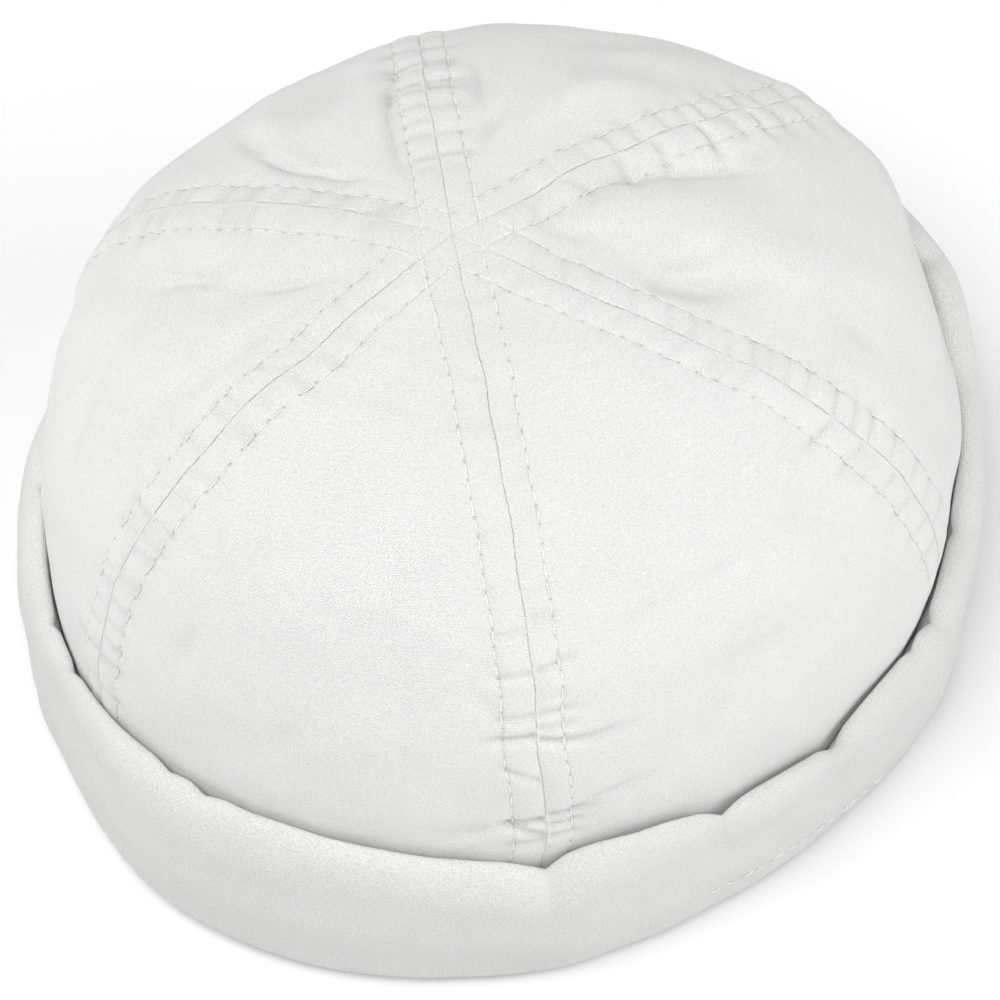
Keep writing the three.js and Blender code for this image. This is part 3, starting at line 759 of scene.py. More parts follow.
@dataclass
class Crown:
    """The crown's cloth surface, with its seam bands, creases and hollows.

    Attributes:
        form: The smooth form under it.
        band_puff: Height of the padded bands beside a seam.
        puff_least: Share of it that a band has at its edges.
        puff_edge: From the topstitching outwards, where a band's height starts to fall and where it ends.
        apex_puff: Share of it that is left at the apex.
        ditch_depth: Depth of the join line.
        ditch_width: Half width of the join line.
        dip_depth: Depth of the soft dip along it.
        dip_width: Half width of that dip.
        lip_width: Half width of the edge that stands up along it.
        row_depth: Depth of the groove that the topstitching pulls.
        row_width: Half width of that groove.
        flat_below: Height under which the cloth is pressed flat by the cuff.
        full_above: Height over which it is free.
        hollow_free: Height over which the hollows have their whole depth.
        apex_calm: From the apex, where creases start and where they are full.
        apex_rows: From the apex, where the needle holes start to show and where they are plain.
        crossing_room: Room to the next row where needle holes start to show and where they are plain.
        crossing_fade: How far holes that don't show are moved aside on their map.
        soft_crease_painted_shade: How much the soft creases count, beside the seams' creases, in the
            creases' painted shade.
        crease_narrow: Half width up to which soft creases get that painted shade, wider ones being shaded by
            their shape alone.
        slack: Broad waves of the loose cloth.
        slack_height: Their height.
        drape: Waves a few centimetres long.
        drape_height: Their height.
        hand: Small unevenness.
        hand_height: Its height.
    """

    form: CrownForm = field(default_factory=CrownForm)
    band_puff: float = 0.5
    puff_least: float = 0.4
    puff_edge: Pair = (-0.6, 1.4)
    apex_puff: float = 0.35
    ditch_depth: float = 0.07
    ditch_width: float = 0.20
    dip_depth: float = 0.08
    dip_width: float = 0.80
    lip_width: float = 0.55
    row_depth: float = 0.20
    row_width: float = 0.36
    flat_below: float = 20.0
    full_above: float = 50.0
    hollow_free: float = 38.5
    apex_calm: Pair = (6.0, 16.0)
    apex_rows: Pair = (7.0, 11.0)
    crossing_room: Pair = (0.3, 1.0)
    crossing_fade: float = 0.6
    soft_crease_painted_shade: float = 0.35
    crease_narrow: float = 2.2
    slack: Unevenness = Unevenness(5, 26.0, 60.0)
    slack_height: float = 0.5
    drape: Unevenness = Unevenness(7, 12.0, 26.0)
    drape_height: float = 0.20
    hand: Unevenness = Unevenness(6, 5.0, 10.0)
    hand_height: float = 0.05

    @cached_property
    def lines(self) -> list[SeamLine]:
        """The six seams as lines on the form."""
        return [SeamLine(self.form, seam) for seam in SEAMS]

    def dips(self, shapes: tuple[Hollow, ...], deg: Array, level: Array) -> Array:
        """Depth of some of the soft hollows and creases."""
        depth = np.zeros(deg.shape)
        length = self.form.length_at(level)
        for hollow in shapes:
            middle = self.form.point(hollow.deg, hollow.level)
            east = np.radians(turn_between(deg, hollow.deg)) * math.hypot(middle[0], middle[1])
            north = length - self.form.length_at(hollow.level)
            rise = math.radians(hollow.rise_deg)
            along = east * math.cos(rise) + north * math.sin(rise)
            aside = north * math.cos(rise) - east * math.sin(rise)
            depth += hollow.depth * np.exp(-((along / hollow.length) ** 2) - (aside / hollow.width) ** 2)
        return depth * smoothstep(self.form.point(deg, level)[..., 2], 0.0, self.hollow_free)

    def hollows(self, deg: Array, level: Array) -> Array:
        """Depth of all the soft hollows and creases."""
        return self.dips(HOLLOWS + SOFT_CREASES, deg, level)

    def loose(self, smooth: Array) -> Array:
        """Height of the slack cloth's waves at points of the smooth form."""
        waves = self.slack_height * self.slack.at(smooth) + self.drape_height * self.drape.at(smooth)
        waves += self.hand_height * self.hand.at(smooth)
        return waves * smoothstep(smooth[..., 2], self.flat_below, self.full_above)

    def radius_at_height(self, deg: Array, height: Array) -> Array:
        """Plan radius of the cloth, without its seams, at heights over the ground."""
        level = self.form.level_at_height(height)
        smooth = self.form.point(deg, level)
        return np.hypot(smooth[..., 0], smooth[..., 1]) - self.hollows(deg, level) + self.loose(smooth)

    def relief(self, deg: Array, level: Array, smooth: Array) -> Array:
        """Height of the cloth over the smooth form.

        Args:
            deg: Plan angles.
            level: Levels.
            smooth: Points of the smooth form there.

        Returns:
            Heights along the form's normal.
        """
        length = self.form.length_at(level)
        calm = smoothstep(self.form.length - length, *self.apex_calm)
        puff, ditch, lips, rows, gathers = np.zeros((5, *deg.shape))
        for line in self.lines:
            distance = line.across(deg, level)
            away = np.abs(distance)
            half = line.row_away(distance)
            pad = 1.0 - smoothstep(away - half, *self.puff_edge)
            cushion = np.sin(math.pi * np.clip(away / half, 0.0, 1.0))
            full = self.puff_least + (1.0 - self.puff_least) * cushion
            puff = np.maximum(puff, self.band_puff * pad * full)
            cut = self.ditch_depth * np.exp(-((away / self.ditch_width) ** 2))
            cut += self.dip_depth * np.exp(-((away / self.dip_width) ** 2))
            ditch = np.maximum(ditch, cut)
            raised = np.sign(distance) == line.seam.lip.value
            edge = line.seam.lip_height * np.exp(-(((away - self.lip_width) / self.lip_width) ** 2))
            lips = np.maximum(lips, np.where(raised, edge, 0.0))
            groove = self.row_depth * np.exp(-(((away - half) / self.row_width) ** 2))
            rows = np.maximum(rows, groove)
            gathers += line.gathers(distance, length)[0]
        shown = smoothstep(smooth[..., 2], self.flat_below, self.full_above)
        padding = puff * (self.apex_puff + (1.0 - self.apex_puff) * calm)
        bands = padding + lips * calm - np.maximum(ditch, rows) - gathers * calm
        return bands * shown + self.loose(smooth) - self.hollows(deg, level)

    def seam_places(self, deg: Array, level: Array) -> dict[str, Array]:
        """Flat maps of the seams.

        Args:
            deg: Plan angles.
            level: Levels.

        Returns:
            The signed distance to the nearest topstitching with the place along it in stitches, the same
            for the nearest join line, and the creases' painted shade with how much painted shade that join
            line gets.
        """
        row, next_row, join = np.full((3, *deg.shape), FAR)
        row_place, shade = np.zeros((2, *deg.shape))
        # Narrow soft creases get painted shade beside the seams' creases; wider ones are shaded by their
        # shape alone.
        dented = (crease for crease in SOFT_CREASES if crease.depth > 0.0)
        sharp = tuple(crease for crease in dented if crease.width <= self.crease_narrow)
        painted_crease_share = self.soft_crease_painted_shade * self.dips(sharp, deg, level)
        length = self.form.length_at(level)
        from_apex = self.form.length - length
        calm = smoothstep(from_apex, *self.apex_calm)
        for line in self.lines:
            distance = line.across(deg, level)
            off_row = np.abs(distance) - line.row_away(distance)
            closer = np.abs(off_row) < np.abs(row)
            next_row = np.where(closer, np.abs(row), np.minimum(next_row, np.abs(off_row)))
            row_place = np.where(closer, np.sqrt(np.maximum(from_apex**2 - distance**2, 0.0)), row_place)
            row = np.where(closer, off_row, row)
            nearer = np.abs(distance) < np.abs(join)
            join = np.where(nearer, distance, join)
            # How much painted shade the nearest join line gets.
            shade = np.where(nearer, line.seam.join_painted_shade, shade)
            painted_crease_share += line.gathers(distance, length)[1] * calm
        crossing = 1.0 - smoothstep(next_row - np.abs(row), *self.crossing_room)
        crossing = np.maximum(crossing, 1.0 - smoothstep(from_apex, *self.apex_rows))
        row = row + np.copysign(crossing * self.crossing_fade, row)
        return {
            SEAM_MAP: np.stack([row, row_place / STITCH_PITCH - FIRST_HOLE], axis=-1),
            JOIN_MAP: np.stack([join, length / JOIN_PITCH], axis=-1),
            PAINTED_SHADE_MAP: np.stack([painted_crease_share, shade], axis=-1),
        }

    def surface(self, deg: Array, level: Array, over: float = 0.0) -> tuple[Array, Array]:
        """Places on the cloth.

        Args:
            deg: Plan angles.
            level: Levels.
            over: Height over the cloth.

        Returns:
            Points and outward normals of the smooth form.
        """
        deg, level = np.broadcast_arrays(np.asarray(deg, float), np.asarray(level, float))
        smooth = self.form.point(deg, level)
        normal = self.form.normal(deg, level)
        height = self.relief(deg, level, smooth) + over
        return smooth + normal * height[..., None], normal


class Workbench:
    """Operators that every piece is made with."""

    @staticmethod
    def clear() -> None:
        """Deselects everything, so that an operator acts on its own piece alone."""
        if bpy.context.object is not None and bpy.context.object.mode != "OBJECT":
            bpy.ops.object.mode_set(mode="OBJECT")
        bpy.ops.object.select_all(action="DESELECT")

    @staticmethod
    def take(piece: Piece) -> None:
        """Makes one piece the active and only selected one."""
        Workbench.clear()
        piece.select_set(True)
        bpy.context.view_layer.objects.active = piece

    @staticmethod
    def cloth_grid(name: str, points: Array, maps: dict[str, Array]) -> Piece:
        """Adds a grid and lays it on a sheet of points.

        Args:
            name: Name of the piece.
            points: Places in millimetres, by row, column and axis.
            maps: Flat places in millimetres for each map, by row, column and axis.

        Returns:
            The piece, one layer thick, facing out where columns run anticlockwise and rows upwards.
        """
        rows, columns = points.shape[:2]
        Workbench.clear()
        bpy.ops.mesh.primitive_grid_add(x_subdivisions=columns - 1, y_subdivisions=rows - 1, size=2.0)
        piece = bpy.context.object
        piece.name = name
        piece.data.name = name
        mesh = piece.data
        corners = np.empty(len(mesh.vertices) * 3)
        mesh.vertices.foreach_get("co", corners)
        corners = corners.reshape(-1, 3)
        column = np.rint((corners[:, 0] + 1.0) / 2.0 * (columns - 1)).astype(int)
        row = np.rint((corners[:, 1] + 1.0) / 2.0 * (rows - 1)).astype(int)
        mesh.vertices.foreach_set("co", placed(points[row, column]).ravel())
        while mesh.uv_layers:
            mesh.uv_layers.remove(mesh.uv_layers[0])
        vertex = np.empty(len(mesh.loops), dtype=np.int32)
        mesh.loops.foreach_get("vertex_index", vertex)
        for map_name, flat in maps.items():
            layer = mesh.uv_layers.new(name=map_name)
            layer.data.foreach_set("uv", flat[row[vertex], column[vertex]].ravel())
        mesh.update()
        return piece

    @staticmethod
    def thicken(piece: Piece, thickness: float, offset: float) -> None:
        """Gives a sheet its thickness.

        Args:
            piece: The sheet.
            thickness: Thickness of the cloth.
            offset: -1 to grow inwards, 0 to both sides.
        """
        Workbench.take(piece)
        wall = piece.modifiers.new("wall", "SOLIDIFY")
        wall.thickness = thickness * MM
        wall.offset = offset
        bpy.ops.object.modifier_apply(modifier=wall.name)
        bpy.ops.object.shade_smooth()

    @staticmethod
    def close_ring(piece: Piece) -> None:
        """Joins the two ends of a sheet that goes all the way round."""
        Workbench.take(piece)
        bpy.ops.object.mode_set(mode="EDIT")
        bpy.ops.mesh.select_all(action="SELECT")
        bpy.ops.mesh.remove_doubles(threshold=SAME_PLACE)
        bpy.ops.object.mode_set(mode="OBJECT")

    @staticmethod
    def dress(piece: Piece, material: Material, slot: Slot) -> None:
        """Gives a piece its material and its body."""
        piece.data.materials.clear()
        piece.data.materials.append(material)
        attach(piece, BODY)


class NodeDesk:
    """A material's node tree, with short ways to add and join its nodes."""

    def __init__(self, name: str) -> None:
        """Starts a material with its shader and output."""
        self.material = bpy.data.materials.new(name)
        self.material.use_nodes = True
        self.tree = self.material.node_tree
        self.tree.nodes.clear()
        self.output = self.tree.nodes.new("ShaderNodeOutputMaterial")
        self.shader = self.tree.nodes.new("ShaderNodeBsdfPrincipled")
        self.join(self.shader.outputs["BSDF"], self.output.inputs["Surface"])

    def join(self, source: Socket, target: Socket) -> None:
        """Links one socket to another."""
        self.tree.links.new(source, target)

    def map_parts(self, name: str) -> tuple[Socket, Socket]:
        """Sockets of the two coordinates of one of the piece's flat maps."""
        flat = self.tree.nodes.new("ShaderNodeUVMap")
        flat.uv_map = name
        parts = self.tree.nodes.new("ShaderNodeSeparateXYZ")
        self.join(flat.outputs["UV"], parts.inputs["Vector"])
        return parts.outputs["X"], parts.outputs["Y"]

    def math(self, operation: str, first: object, second: object = 0.0) -> Socket:
        """Adds a Math node.

        Args:
            operation: Its operation.
            first: A socket or a number.
            second: A socket or a number.

        Returns:
            The result's socket.
        """
        node = self.tree.nodes.new("ShaderNodeMath")
        node.operation = operation
        for index, value in enumerate((first, second)):
            if isinstance(value, Socket):
                self.join(value, node.inputs[index])
            else:
                node.inputs[index].default_value = value
        return node.outputs[0]

    def product(self, first: Socket, second: object) -> Socket:
        """Adds a node that multiplies a socket by a socket or a number."""
        return self.math("MULTIPLY", first, second)

    def total(self, first: Socket, *others: object) -> Socket:
        """Adds nodes that sum up a socket with sockets or numbers."""
        for value in others:
            first = self.math("ADD", first, value)
        return first

    def noise(self, where: Socket, stretch: Triple, detail: float = 1.0) -> Socket:
        """Adds a Noise texture.

        Args:
            where: Coordinates.
            stretch: How many features fit in one unit along each axis.
            detail: How many finer layers it has.

        Returns:
            The socket of its height, 0 to 1.
        """
        place = self.tree.nodes.new("ShaderNodeMapping")
        place.inputs["Scale"].default_value = stretch
        self.join(where, place.inputs["Vector"])
        texture = self.tree.nodes.new("ShaderNodeTexNoise")
        texture.inputs["Scale"].default_value = 1.0
        texture.inputs["Detail"].default_value = detail
        self.join(place.outputs["Vector"], texture.inputs["Vector"])
        return texture.outputs["Fac"]

    def ease(self, value: Socket, low: float, high: float) -> Socket:
        """Adds a smooth step from 0 at low to 1 at high."""
        node = self.tree.nodes.new("ShaderNodeMapRange")
        node.interpolation_type = "SMOOTHSTEP"
        node.inputs["From Min"].default_value = low
        node.inputs["From Max"].default_value = high
        self.join(value, node.inputs["Value"])
        return node.outputs["Result"]

    def bump(self, height: Socket) -> None:
        """Gives the shader a bump of a height in millimetres."""
        node = self.tree.nodes.new("ShaderNodeBump")
        node.inputs["Strength"].default_value = 1.0
        node.inputs["Distance"].default_value = MM
        self.join(height, node.inputs["Height"])
        self.join(node.outputs["Normal"], self.shader.inputs["Normal"])

    def tint(self, share: Socket, dark: float, light: float) -> Socket:
        """Adds a ramp between two neutral whites."""
        ramp = self.tree.nodes.new("ShaderNodeValToRGB")
        ramp.color_ramp.elements[0].color = (dark, dark, dark * BLUE_SHARE, 1.0)
        ramp.color_ramp.elements[1].color = (light, light, light * BLUE_SHARE, 1.0)
        self.join(share, ramp.inputs["Fac"])
        return ramp.outputs["Color"]


@dataclass(frozen=True)
class CottonFinish:
    """Washed white cotton: a plain weave with thick slubs, matt, with a faint nap.

    Shades, which are painted shade, and tones are shares of the way between dark and light. A reach is where
    a mark ends and where it is full, by distance from its line, and its ends are the same along the line, in
    stitches from the middle of a stitch. Scales are features in a millimetre.

    Attributes:
        name: Name of the material.
        dark: Reflectance between the threads.
        light: Reflectance of the threads.
        thread: Room from thread to thread.
        waver: How far threads waver from their line.
        waver_scales: Scales of that, for the threads along the cloth and across it.
        bend_scale: Scale of the slow bends that all the threads share.
        line_shares: How much single threads show, along and across, beside the weave's cells.
        slub_scales: Scales of the thick places in the threads, across and along.
        slub_steps: From what height of their noise they start to show and are full.
        nap_scale: Scale of the nap.
        weave_height: Height of the weave.
        slub_height: Height of the slubs.
        nap_height: Height of the nap.
        pit_depth: Depth of the needle holes.
        pit_shade: How much darker they are painted, as painted shade in the holes.
        pit_reach: Their reach.
        pit_ends: Their ends.
        row_painted_shade: How much darker the cloth beside the stitches is painted, as painted shade of
            their groove.
        row_reach: Its reach.
        row_ends: Where it starts to fade along the line and where it has.
        row_dash: How far it fades at its ends, 1 for wholly.
        crease_painted_shade: How much painted shade a crease one millimetre deep gets.
        join_slant: How far each stitch of a join line leans across it.
        join_reach: Reach of the join line.
        join_ends: Ends of its dashes.
        join_least: Share of the join line that is left between its dashes.
        yarn_scales: Scales of the yarns' own tones, across and along.
        grain: How far these differ.
        cell_tone: How far the weave's cells differ.
        slub_tone: How much lighter slubs are.
        worn_scale: Scale of worn places.
        worn_tone: How much lighter they are.
        middle_tone: Tone of the cloth under all these.
        roughness: Roughness of the cloth.
        gloss: Its specular level.
        sheen: Its sheen.
        sheen_roughness: Roughness of that sheen.
    """

    name: str
    dark: float = 0.62
    light: float = 0.92
    thread: float = 0.48
    waver: float = 0.35
    waver_scales: tuple[Triple, ...] = ((0.05, 0.9, 1.0), (0.9, 0.05, 1.0))
    bend_scale: Triple = (0.12, 0.12, 1.0)
    line_shares: Pair = (0.35, 0.7)
    slub_scales: tuple[Triple, ...] = ((0.16, 2.1, 1.0), (2.1, 0.13, 1.0))
    slub_steps: tuple[Pair, ...] = ((0.56, 0.72), (0.58, 0.74))
    nap_scale: Triple = (2.2, 2.2, 1.0)
    weave_height: float = 0.030
    slub_height: float = 0.025
    nap_height: float = 0.05
    pit_depth: float = 0.15
    pit_shade: float = 0.42
    pit_reach: Pair = (0.28, 0.06)
    pit_ends: Pair = (0.43, 0.48)
    row_painted_shade: float = 0.24
    row_reach: Pair = (0.48, 0.14)
    row_ends: Pair = (0.26, 0.36)
    row_dash: float = 0.0
    crease_painted_shade: float = 0.40
    join_slant: float = 0.2
    join_reach: Pair = (0.19, 0.05)
    join_ends: Pair = (0.47, 0.30)
    join_least: float = 0.25
    yarn_scales: tuple[Triple, ...] = ((1.5, 3.4, 1.0), (3.4, 1.5, 1.0))
    grain: float = 0.75
    cell_tone: float = 0.18
    slub_tone: float = 0.09
    worn_scale: Triple = (0.07, 0.07, 1.0)
    worn_tone: float = 0.14
    middle_tone: float = 0.54
    roughness: float = 0.95
    gloss: float = 0.15
    sheen: float = 0.05
    sheen_roughness: float = 0.6

    def cells(self, desk: NodeDesk, where: Socket) -> Socket:
        """Height of the plain weave, with its single threads."""
        bend = desk.noise(where, self.bend_scale, detail=2.0)
        threads = []
        for place, scale in zip(desk.map_parts(CLOTH_MAP), self.waver_scales):
            wavering = desk.product(desk.noise(where, scale), self.waver)
            turns = desk.product(desk.total(place, wavering, bend), 2.0 * math.pi / self.thread)
            threads.append(desk.math("SINE", turns))
        lines = [desk.product(thread, share) for thread, share in zip(threads, self.line_shares)]
        return desk.total(desk.product(*threads), *lines)

    def slubs(self, desk: NodeDesk, where: Socket) -> Socket:
        """Share of a thick place in the threads."""
        thick = zip(self.slub_scales, self.slub_steps)
        return desk.total(*[desk.ease(desk.noise(where, scale), *step) for scale, step in thick])

    def needle_pits(self, desk: NodeDesk) -> tuple[Socket, Socket]:
        """Shares of a needle hole and of the painted shade beside the topstitching, 1 in their middle."""
        beside = desk.map_parts(SEAM_MAP)
        away = desk.math("ABSOLUTE", beside[0])
        from_middle = desk.math("ABSOLUTE", desk.total(desk.math("FRACT", beside[1]), -0.5))
        pits = desk.product(desk.ease(away, *self.pit_reach), desk.ease(from_middle, *self.pit_ends))
        ended = desk.product(desk.ease(from_middle, *self.row_ends), self.row_dash)
        broken = desk.math("SUBTRACT", 1.0, ended)
        return pits, desk.product(desk.ease(away, *self.row_reach), broken)

    def join_shadow_line(self, desk: NodeDesk) -> Socket:
        """Share of the join line's painted shade, drawn in dashes that lean like its stitches."""
        beside = desk.map_parts(JOIN_MAP)
        from_middle = desk.total(desk.math("FRACT", beside[1]), -0.5)
        away = desk.math("ABSOLUTE", desk.total(beside[0], desk.product(from_middle, self.join_slant)))
        dash = desk.ease(desk.math("ABSOLUTE", from_middle), *self.join_ends)
        shown = desk.total(desk.product(dash, 1.0 - self.join_least), self.join_least)
        line = desk.product(desk.ease(away, *self.join_reach), shown)
        return desk.product(line, desk.map_parts(PAINTED_SHADE_MAP)[1])

    def material(self) -> Material:
        """Makes the material."""
        desk = NodeDesk(self.name)
        cloth = desk.tree.nodes.new("ShaderNodeUVMap")
        cloth.uv_map = CLOTH_MAP
        where = cloth.outputs["UV"]
        cells = self.cells(desk, where)
        slubs = self.slubs(desk, where)
        nap = desk.noise(where, self.nap_scale, detail=2.0)
        pits, row = self.needle_pits(desk)
        desk.bump(desk.total(
            desk.product(cells, self.weave_height),
            desk.product(slubs, self.slub_height),
            desk.product(nap, self.nap_height),
            desk.product(pits, -self.pit_depth),
        ))
        yarns = desk.total(*[desk.noise(where, scale) for scale in self.yarn_scales], -1.0)
        tone = desk.total(
            desk.product(cells, self.cell_tone),
            desk.product(slubs, self.slub_tone),
            desk.product(yarns, self.grain),
            desk.product(desk.noise(where, self.worn_scale), self.worn_tone),
            self.middle_tone,
            # Painted shade beside the stitches, in the needle holes, in creases and along the join lines.
            desk.product(row, -self.row_painted_shade),
            desk.product(pits, -self.pit_shade),
            desk.product(desk.map_parts(PAINTED_SHADE_MAP)[0], -self.crease_painted_shade),
            desk.product(self.join_shadow_line(desk), -1.0),
        )
        desk.join(desk.tint(tone, self.dark, self.light), desk.shader.inputs["Base Color"])
        desk.shader.inputs["Roughness"].default_value = self.roughness
        desk.shader.inputs["Specular IOR Level"].default_value = self.gloss
        desk.shader.inputs["Sheen Weight"].default_value = self.sheen
        desk.shader.inputs["Sheen Roughness"].default_value = self.sheen_roughness
        return desk.material


@dataclass(frozen=True)
class ThreadFinish:
    """White spun sewing thread.

    Attributes:
        name: Name of the material.
        dark: Reflectance in the twist's hollows.
        light: Reflectance of the plies.
        twist: Room from ply to ply along the thread, in metres.
        roughness: Its roughness.
        sheen: Its sheen.
    """

    name: str
    dark: float = 0.87
    light: float = 0.97
    twist: float = 0.0004
    roughness: float = 0.7
    sheen: float = 0.2

    def material(self) -> Material:
        """Makes the material."""
        desk = NodeDesk(self.name)
        place = desk.tree.nodes.new("ShaderNodeTexCoord")
        plies = desk.noise(place.outputs["Object"], (1.0 / self.twist,) * 3)
        desk.join(desk.tint(plies, self.dark, self.light), desk.shader.inputs["Base Color"])
        desk.shader.inputs["Roughness"].default_value = self.roughness
        desk.shader.inputs["Sheen Weight"].default_value = self.sheen
        return desk.material


@dataclass
class Panels:
    """The six gores of the crown.

    Attributes:
        crown: The crown's surface.
        cloth: Thickness of the wall.
        tip_level: Where the gores end, just short of the apex.
        slit: Half width of the open join line.
        hidden: Length of cloth behind the cuff, which needs few rows.
        fine_row: Room from row to row where the picture shows it.
        middle_row: Room from row to row elsewhere over the cuff.
        coarse_row: Room from row to row behind the cuff.
        field_step: Widest room between columns in the open cloth.
        band_steps: Places of the columns beside a seam.
        band_row: Which of those places the topstitching has.
        band_share: Largest share of a gore's width that the columns beside one seam take.
        ring_steps: Steps in which a gore's width is measured.
    """

    crown: Crown
    cloth: float = 1.3
    tip_level: float = 0.99999
    slit: float = 0.004
    hidden: float = 27.0
    fine_row: float = 0.5
    middle_row: float = 0.9
    coarse_row: float = 3.0
    field_step: float = 1.2
    band_steps: tuple[float, ...] = (
        0.025, 0.16, 0.4, 0.8, 1.4, 2.1, 2.8, 3.5, 4.1, 4.5,
        4.8, 5.0, 5.2, 5.5, 5.9, 6.5, 7.4, 8.6, 10.0, 11.2,
    )
    band_row: float = 5.0
    band_share: float = 0.45
    ring_steps: int = 40

    def levels(self, seen_from: float) -> Array:
        """Levels of the rows, close together from where the cloth shows in the picture."""
        form = self.crown.form
        end = float(form.length_at(self.tip_level))
        low = np.arange(0.0, self.hidden, self.coarse_row)
        middle = np.arange(self.hidden, seen_from, self.middle_row)
        high = np.linspace(seen_from, end, int((end - seen_from) / self.fine_row))
        return form.level_at(np.concatenate([low, middle, high]))

    def beside(self, width: Array, row_offset: float) -> Array:
        """Distances of the columns beside one seam, by row, close together at its join and its stitches."""
        band = np.array(self.band_steps) * row_offset / self.band_row
        steps = band[None, :] * np.minimum(1.0, width * self.band_share / band[-1])[:, None]
        steps[:, 0] = np.minimum(self.slit, steps[:, 0])
        return steps

    def columns(self, width: Array, first: Seam, second: Seam) -> Array:
        """Distances of the columns from the first seam, by row.

        Args:
            width: Width of the gore in each row.
            first: The seam before it.
            second: The seam after it.

        Returns:
            The distances, by row and column.
        """
        left = self.beside(width, first.after)
        right = width[:, None] - self.beside(width, second.before)[:, ::-1]
        fields = int((float(width.max()) - 2 * self.band_steps[-1]) / self.field_step)
        inner = np.linspace(0.0, 1.0, fields + 2)[None, 1:-1]
        return np.concatenate([left, left[:, -1:] + (right[:, :1] - left[:, -1:]) * inner, right], axis=1)

    def sheet(self, first: SeamLine, second: SeamLine) -> tuple[Array, dict[str, Array]]:
        """Points of one gore.

        Args:
            first: The seam before it, anticlockwise.
            second: The seam after it.

        Returns:
            Places on the crown and its flat maps, by row and column.
        """
        form = self.crown.form
        levels = self.levels(first.seam.seen_from)
        start = first.deg_at(levels)
        span = (second.deg_at(levels) - start) % 360.0
        shares = np.linspace(0.0, 1.0, self.ring_steps + 1)
        ring = form.point(start[:, None] + span[:, None] * shares, levels[:, None])
        width = np.linalg.norm(np.diff(ring, axis=1), axis=2).sum(axis=1)
        across = self.columns(width, first.seam, second.seam)
        deg = start[:, None] + span[:, None] * across / width[:, None]
        level = np.repeat(levels[:, None], across.shape[1], axis=1)
        points, _ = self.crown.surface(deg, level)
        flat = np.stack([across - width[:, None] / 2, form.length_at(level)], axis=-1)
        return points, {CLOTH_MAP: flat} | self.crown.seam_places(deg, level)

    def build(self, finish: CottonFinish) -> list[Piece]:
        """Makes and dresses the six gores."""
        material = finish.material()
        lines = self.crown.lines
        made = []
        for index, line in enumerate(lines):
            points, maps = self.sheet(line, lines[(index + 1) % len(lines)])
            node = line.seam.panel
            gore = Workbench.cloth_grid(f"{node}_cloth", points, maps)
            Workbench.thicken(gore, self.cloth, offset=-1.0)
            Workbench.dress(gore, material, Slot.CROWN)
            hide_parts(node)
            made.append(gore)
        return made


@dataclass
class Stitching:
    """Rows of topstitching, each stitch a short bent length of thread.

    Attributes:
        pitch: From needle hole to needle hole.
        shown: Share of the pitch that lies on the cloth.
        thread: Radius of the thread.
        arch: How far a stitch's middle stands over its ends.
        sink: How far its ends go into the cloth.
        sides: Sides of the thread, and rings along a stitch.
        blunt: How blunt its ends are, 1 for round and less for blunter.
        sort_digits: Digits by which its corners are put in order, which an operator leaves to chance.
    """

    pitch: float = STITCH_PITCH
    shown: float = 0.76
    thread: float = 0.15
    arch: float = 0.18
    sink: float = 0.06
    sides: int = 8
    blunt: float = 0.6
    sort_digits: int = 3

    @cached_property
    def one(self) -> tuple[Array, list[tuple[int, ...]]]:
        """Corners and faces of one stitch, one unit long and thick, in the same order each run."""
        Workbench.clear()
        bpy.ops.mesh.primitive_uv_sphere_add(segments=self.sides, ring_count=self.sides, radius=1.0)
        ball = bpy.context.object
        bpy.ops.transform.rotate(value=math.pi / 2, orient_axis="Y", center_override=(0.0, 0.0, 0.0))
        bpy.ops.object.transform_apply(location=False, rotation=True, scale=True)
        corners = np.array([vertex.co[:] for vertex in ball.data.vertices])
        order = np.lexsort(np.round(corners, self.sort_digits).T)
        rank = np.argsort(order).tolist()
        faces = []
        for face in ball.data.polygons:
            ring = [rank[corner] for corner in face.vertices]
            first = ring.index(min(ring))
            faces.append(tuple(ring[first:] + ring[:first]))
        corners = corners[order]
        corners[:, 0] = np.sign(corners[:, 0]) * np.abs(corners[:, 0]) ** self.blunt / 2.0
        bpy.data.objects.remove(ball)
        return corners, sorted(faces)

    def lay(self, starts: Array, stops: Array, normals: Array, lifts: Array) -> list:
        """Lays one stitch between each pair of places.

        Args:
            starts: First ends.
            stops: Second ends.
            normals: Outward ways of the cloth.
            lifts: How far each stitch has worked loose.

        Returns:
            Corners and faces of all the stitches.
        """
        corners, faces = self.one
        ways = stops - starts
        sides = unit(np.cross(normals, ways))
        ups = unit(np.cross(ways, sides))
        x, y, z = corners.T
        bow = 1.0 - (2.0 * x) ** 2
        middle = (starts + stops) / 2
        height = z * self.thread + (bow * self.arch - self.sink) + bow * lifts[:, None]
        along = middle[:, None, :] + ways[:, None, :] * x[None, :, None]
        aside = sides[:, None, :] * (y * self.thread)[None, :, None]
        places = along + aside + ups[:, None, :] * height[..., None]
        firsts = np.arange(len(starts)) * len(corners)
        joined = [tuple(corner + first for corner in face) for first in firsts.tolist() for face in faces]
        return [places.reshape(-1, 3), joined]

    def piece(self, name: str, rows: list[list], material: Material, slot: Slot) -> Piece:
        """Joins rows of stitches into one piece.

        Args:
            name: Name of the piece.
            rows: Corners and faces of each row.
            material: The thread.
            slot: Slot in the record, which is not used.

        Returns:
            The piece.
        """
        corners = placed(np.concatenate([row[0] for row in rows]))
        faces = []
        first = 0
        for places, joined in rows:
            faces.extend(tuple(corner + first for corner in face) for face in joined)
            first += len(places)
        mesh = bpy.data.meshes.new(name)
        mesh.from_pydata(corners.tolist(), [], faces)
        mesh.update()
        piece = bpy.data.objects.new(name, mesh)
        bpy.context.scene.collection.objects.link(piece)
        Workbench.take(piece)
        bpy.ops.object.shade_smooth()
        Workbench.dress(piece, material, slot)
        log.info("%s: %d faces", name, len(faces))
        return piece


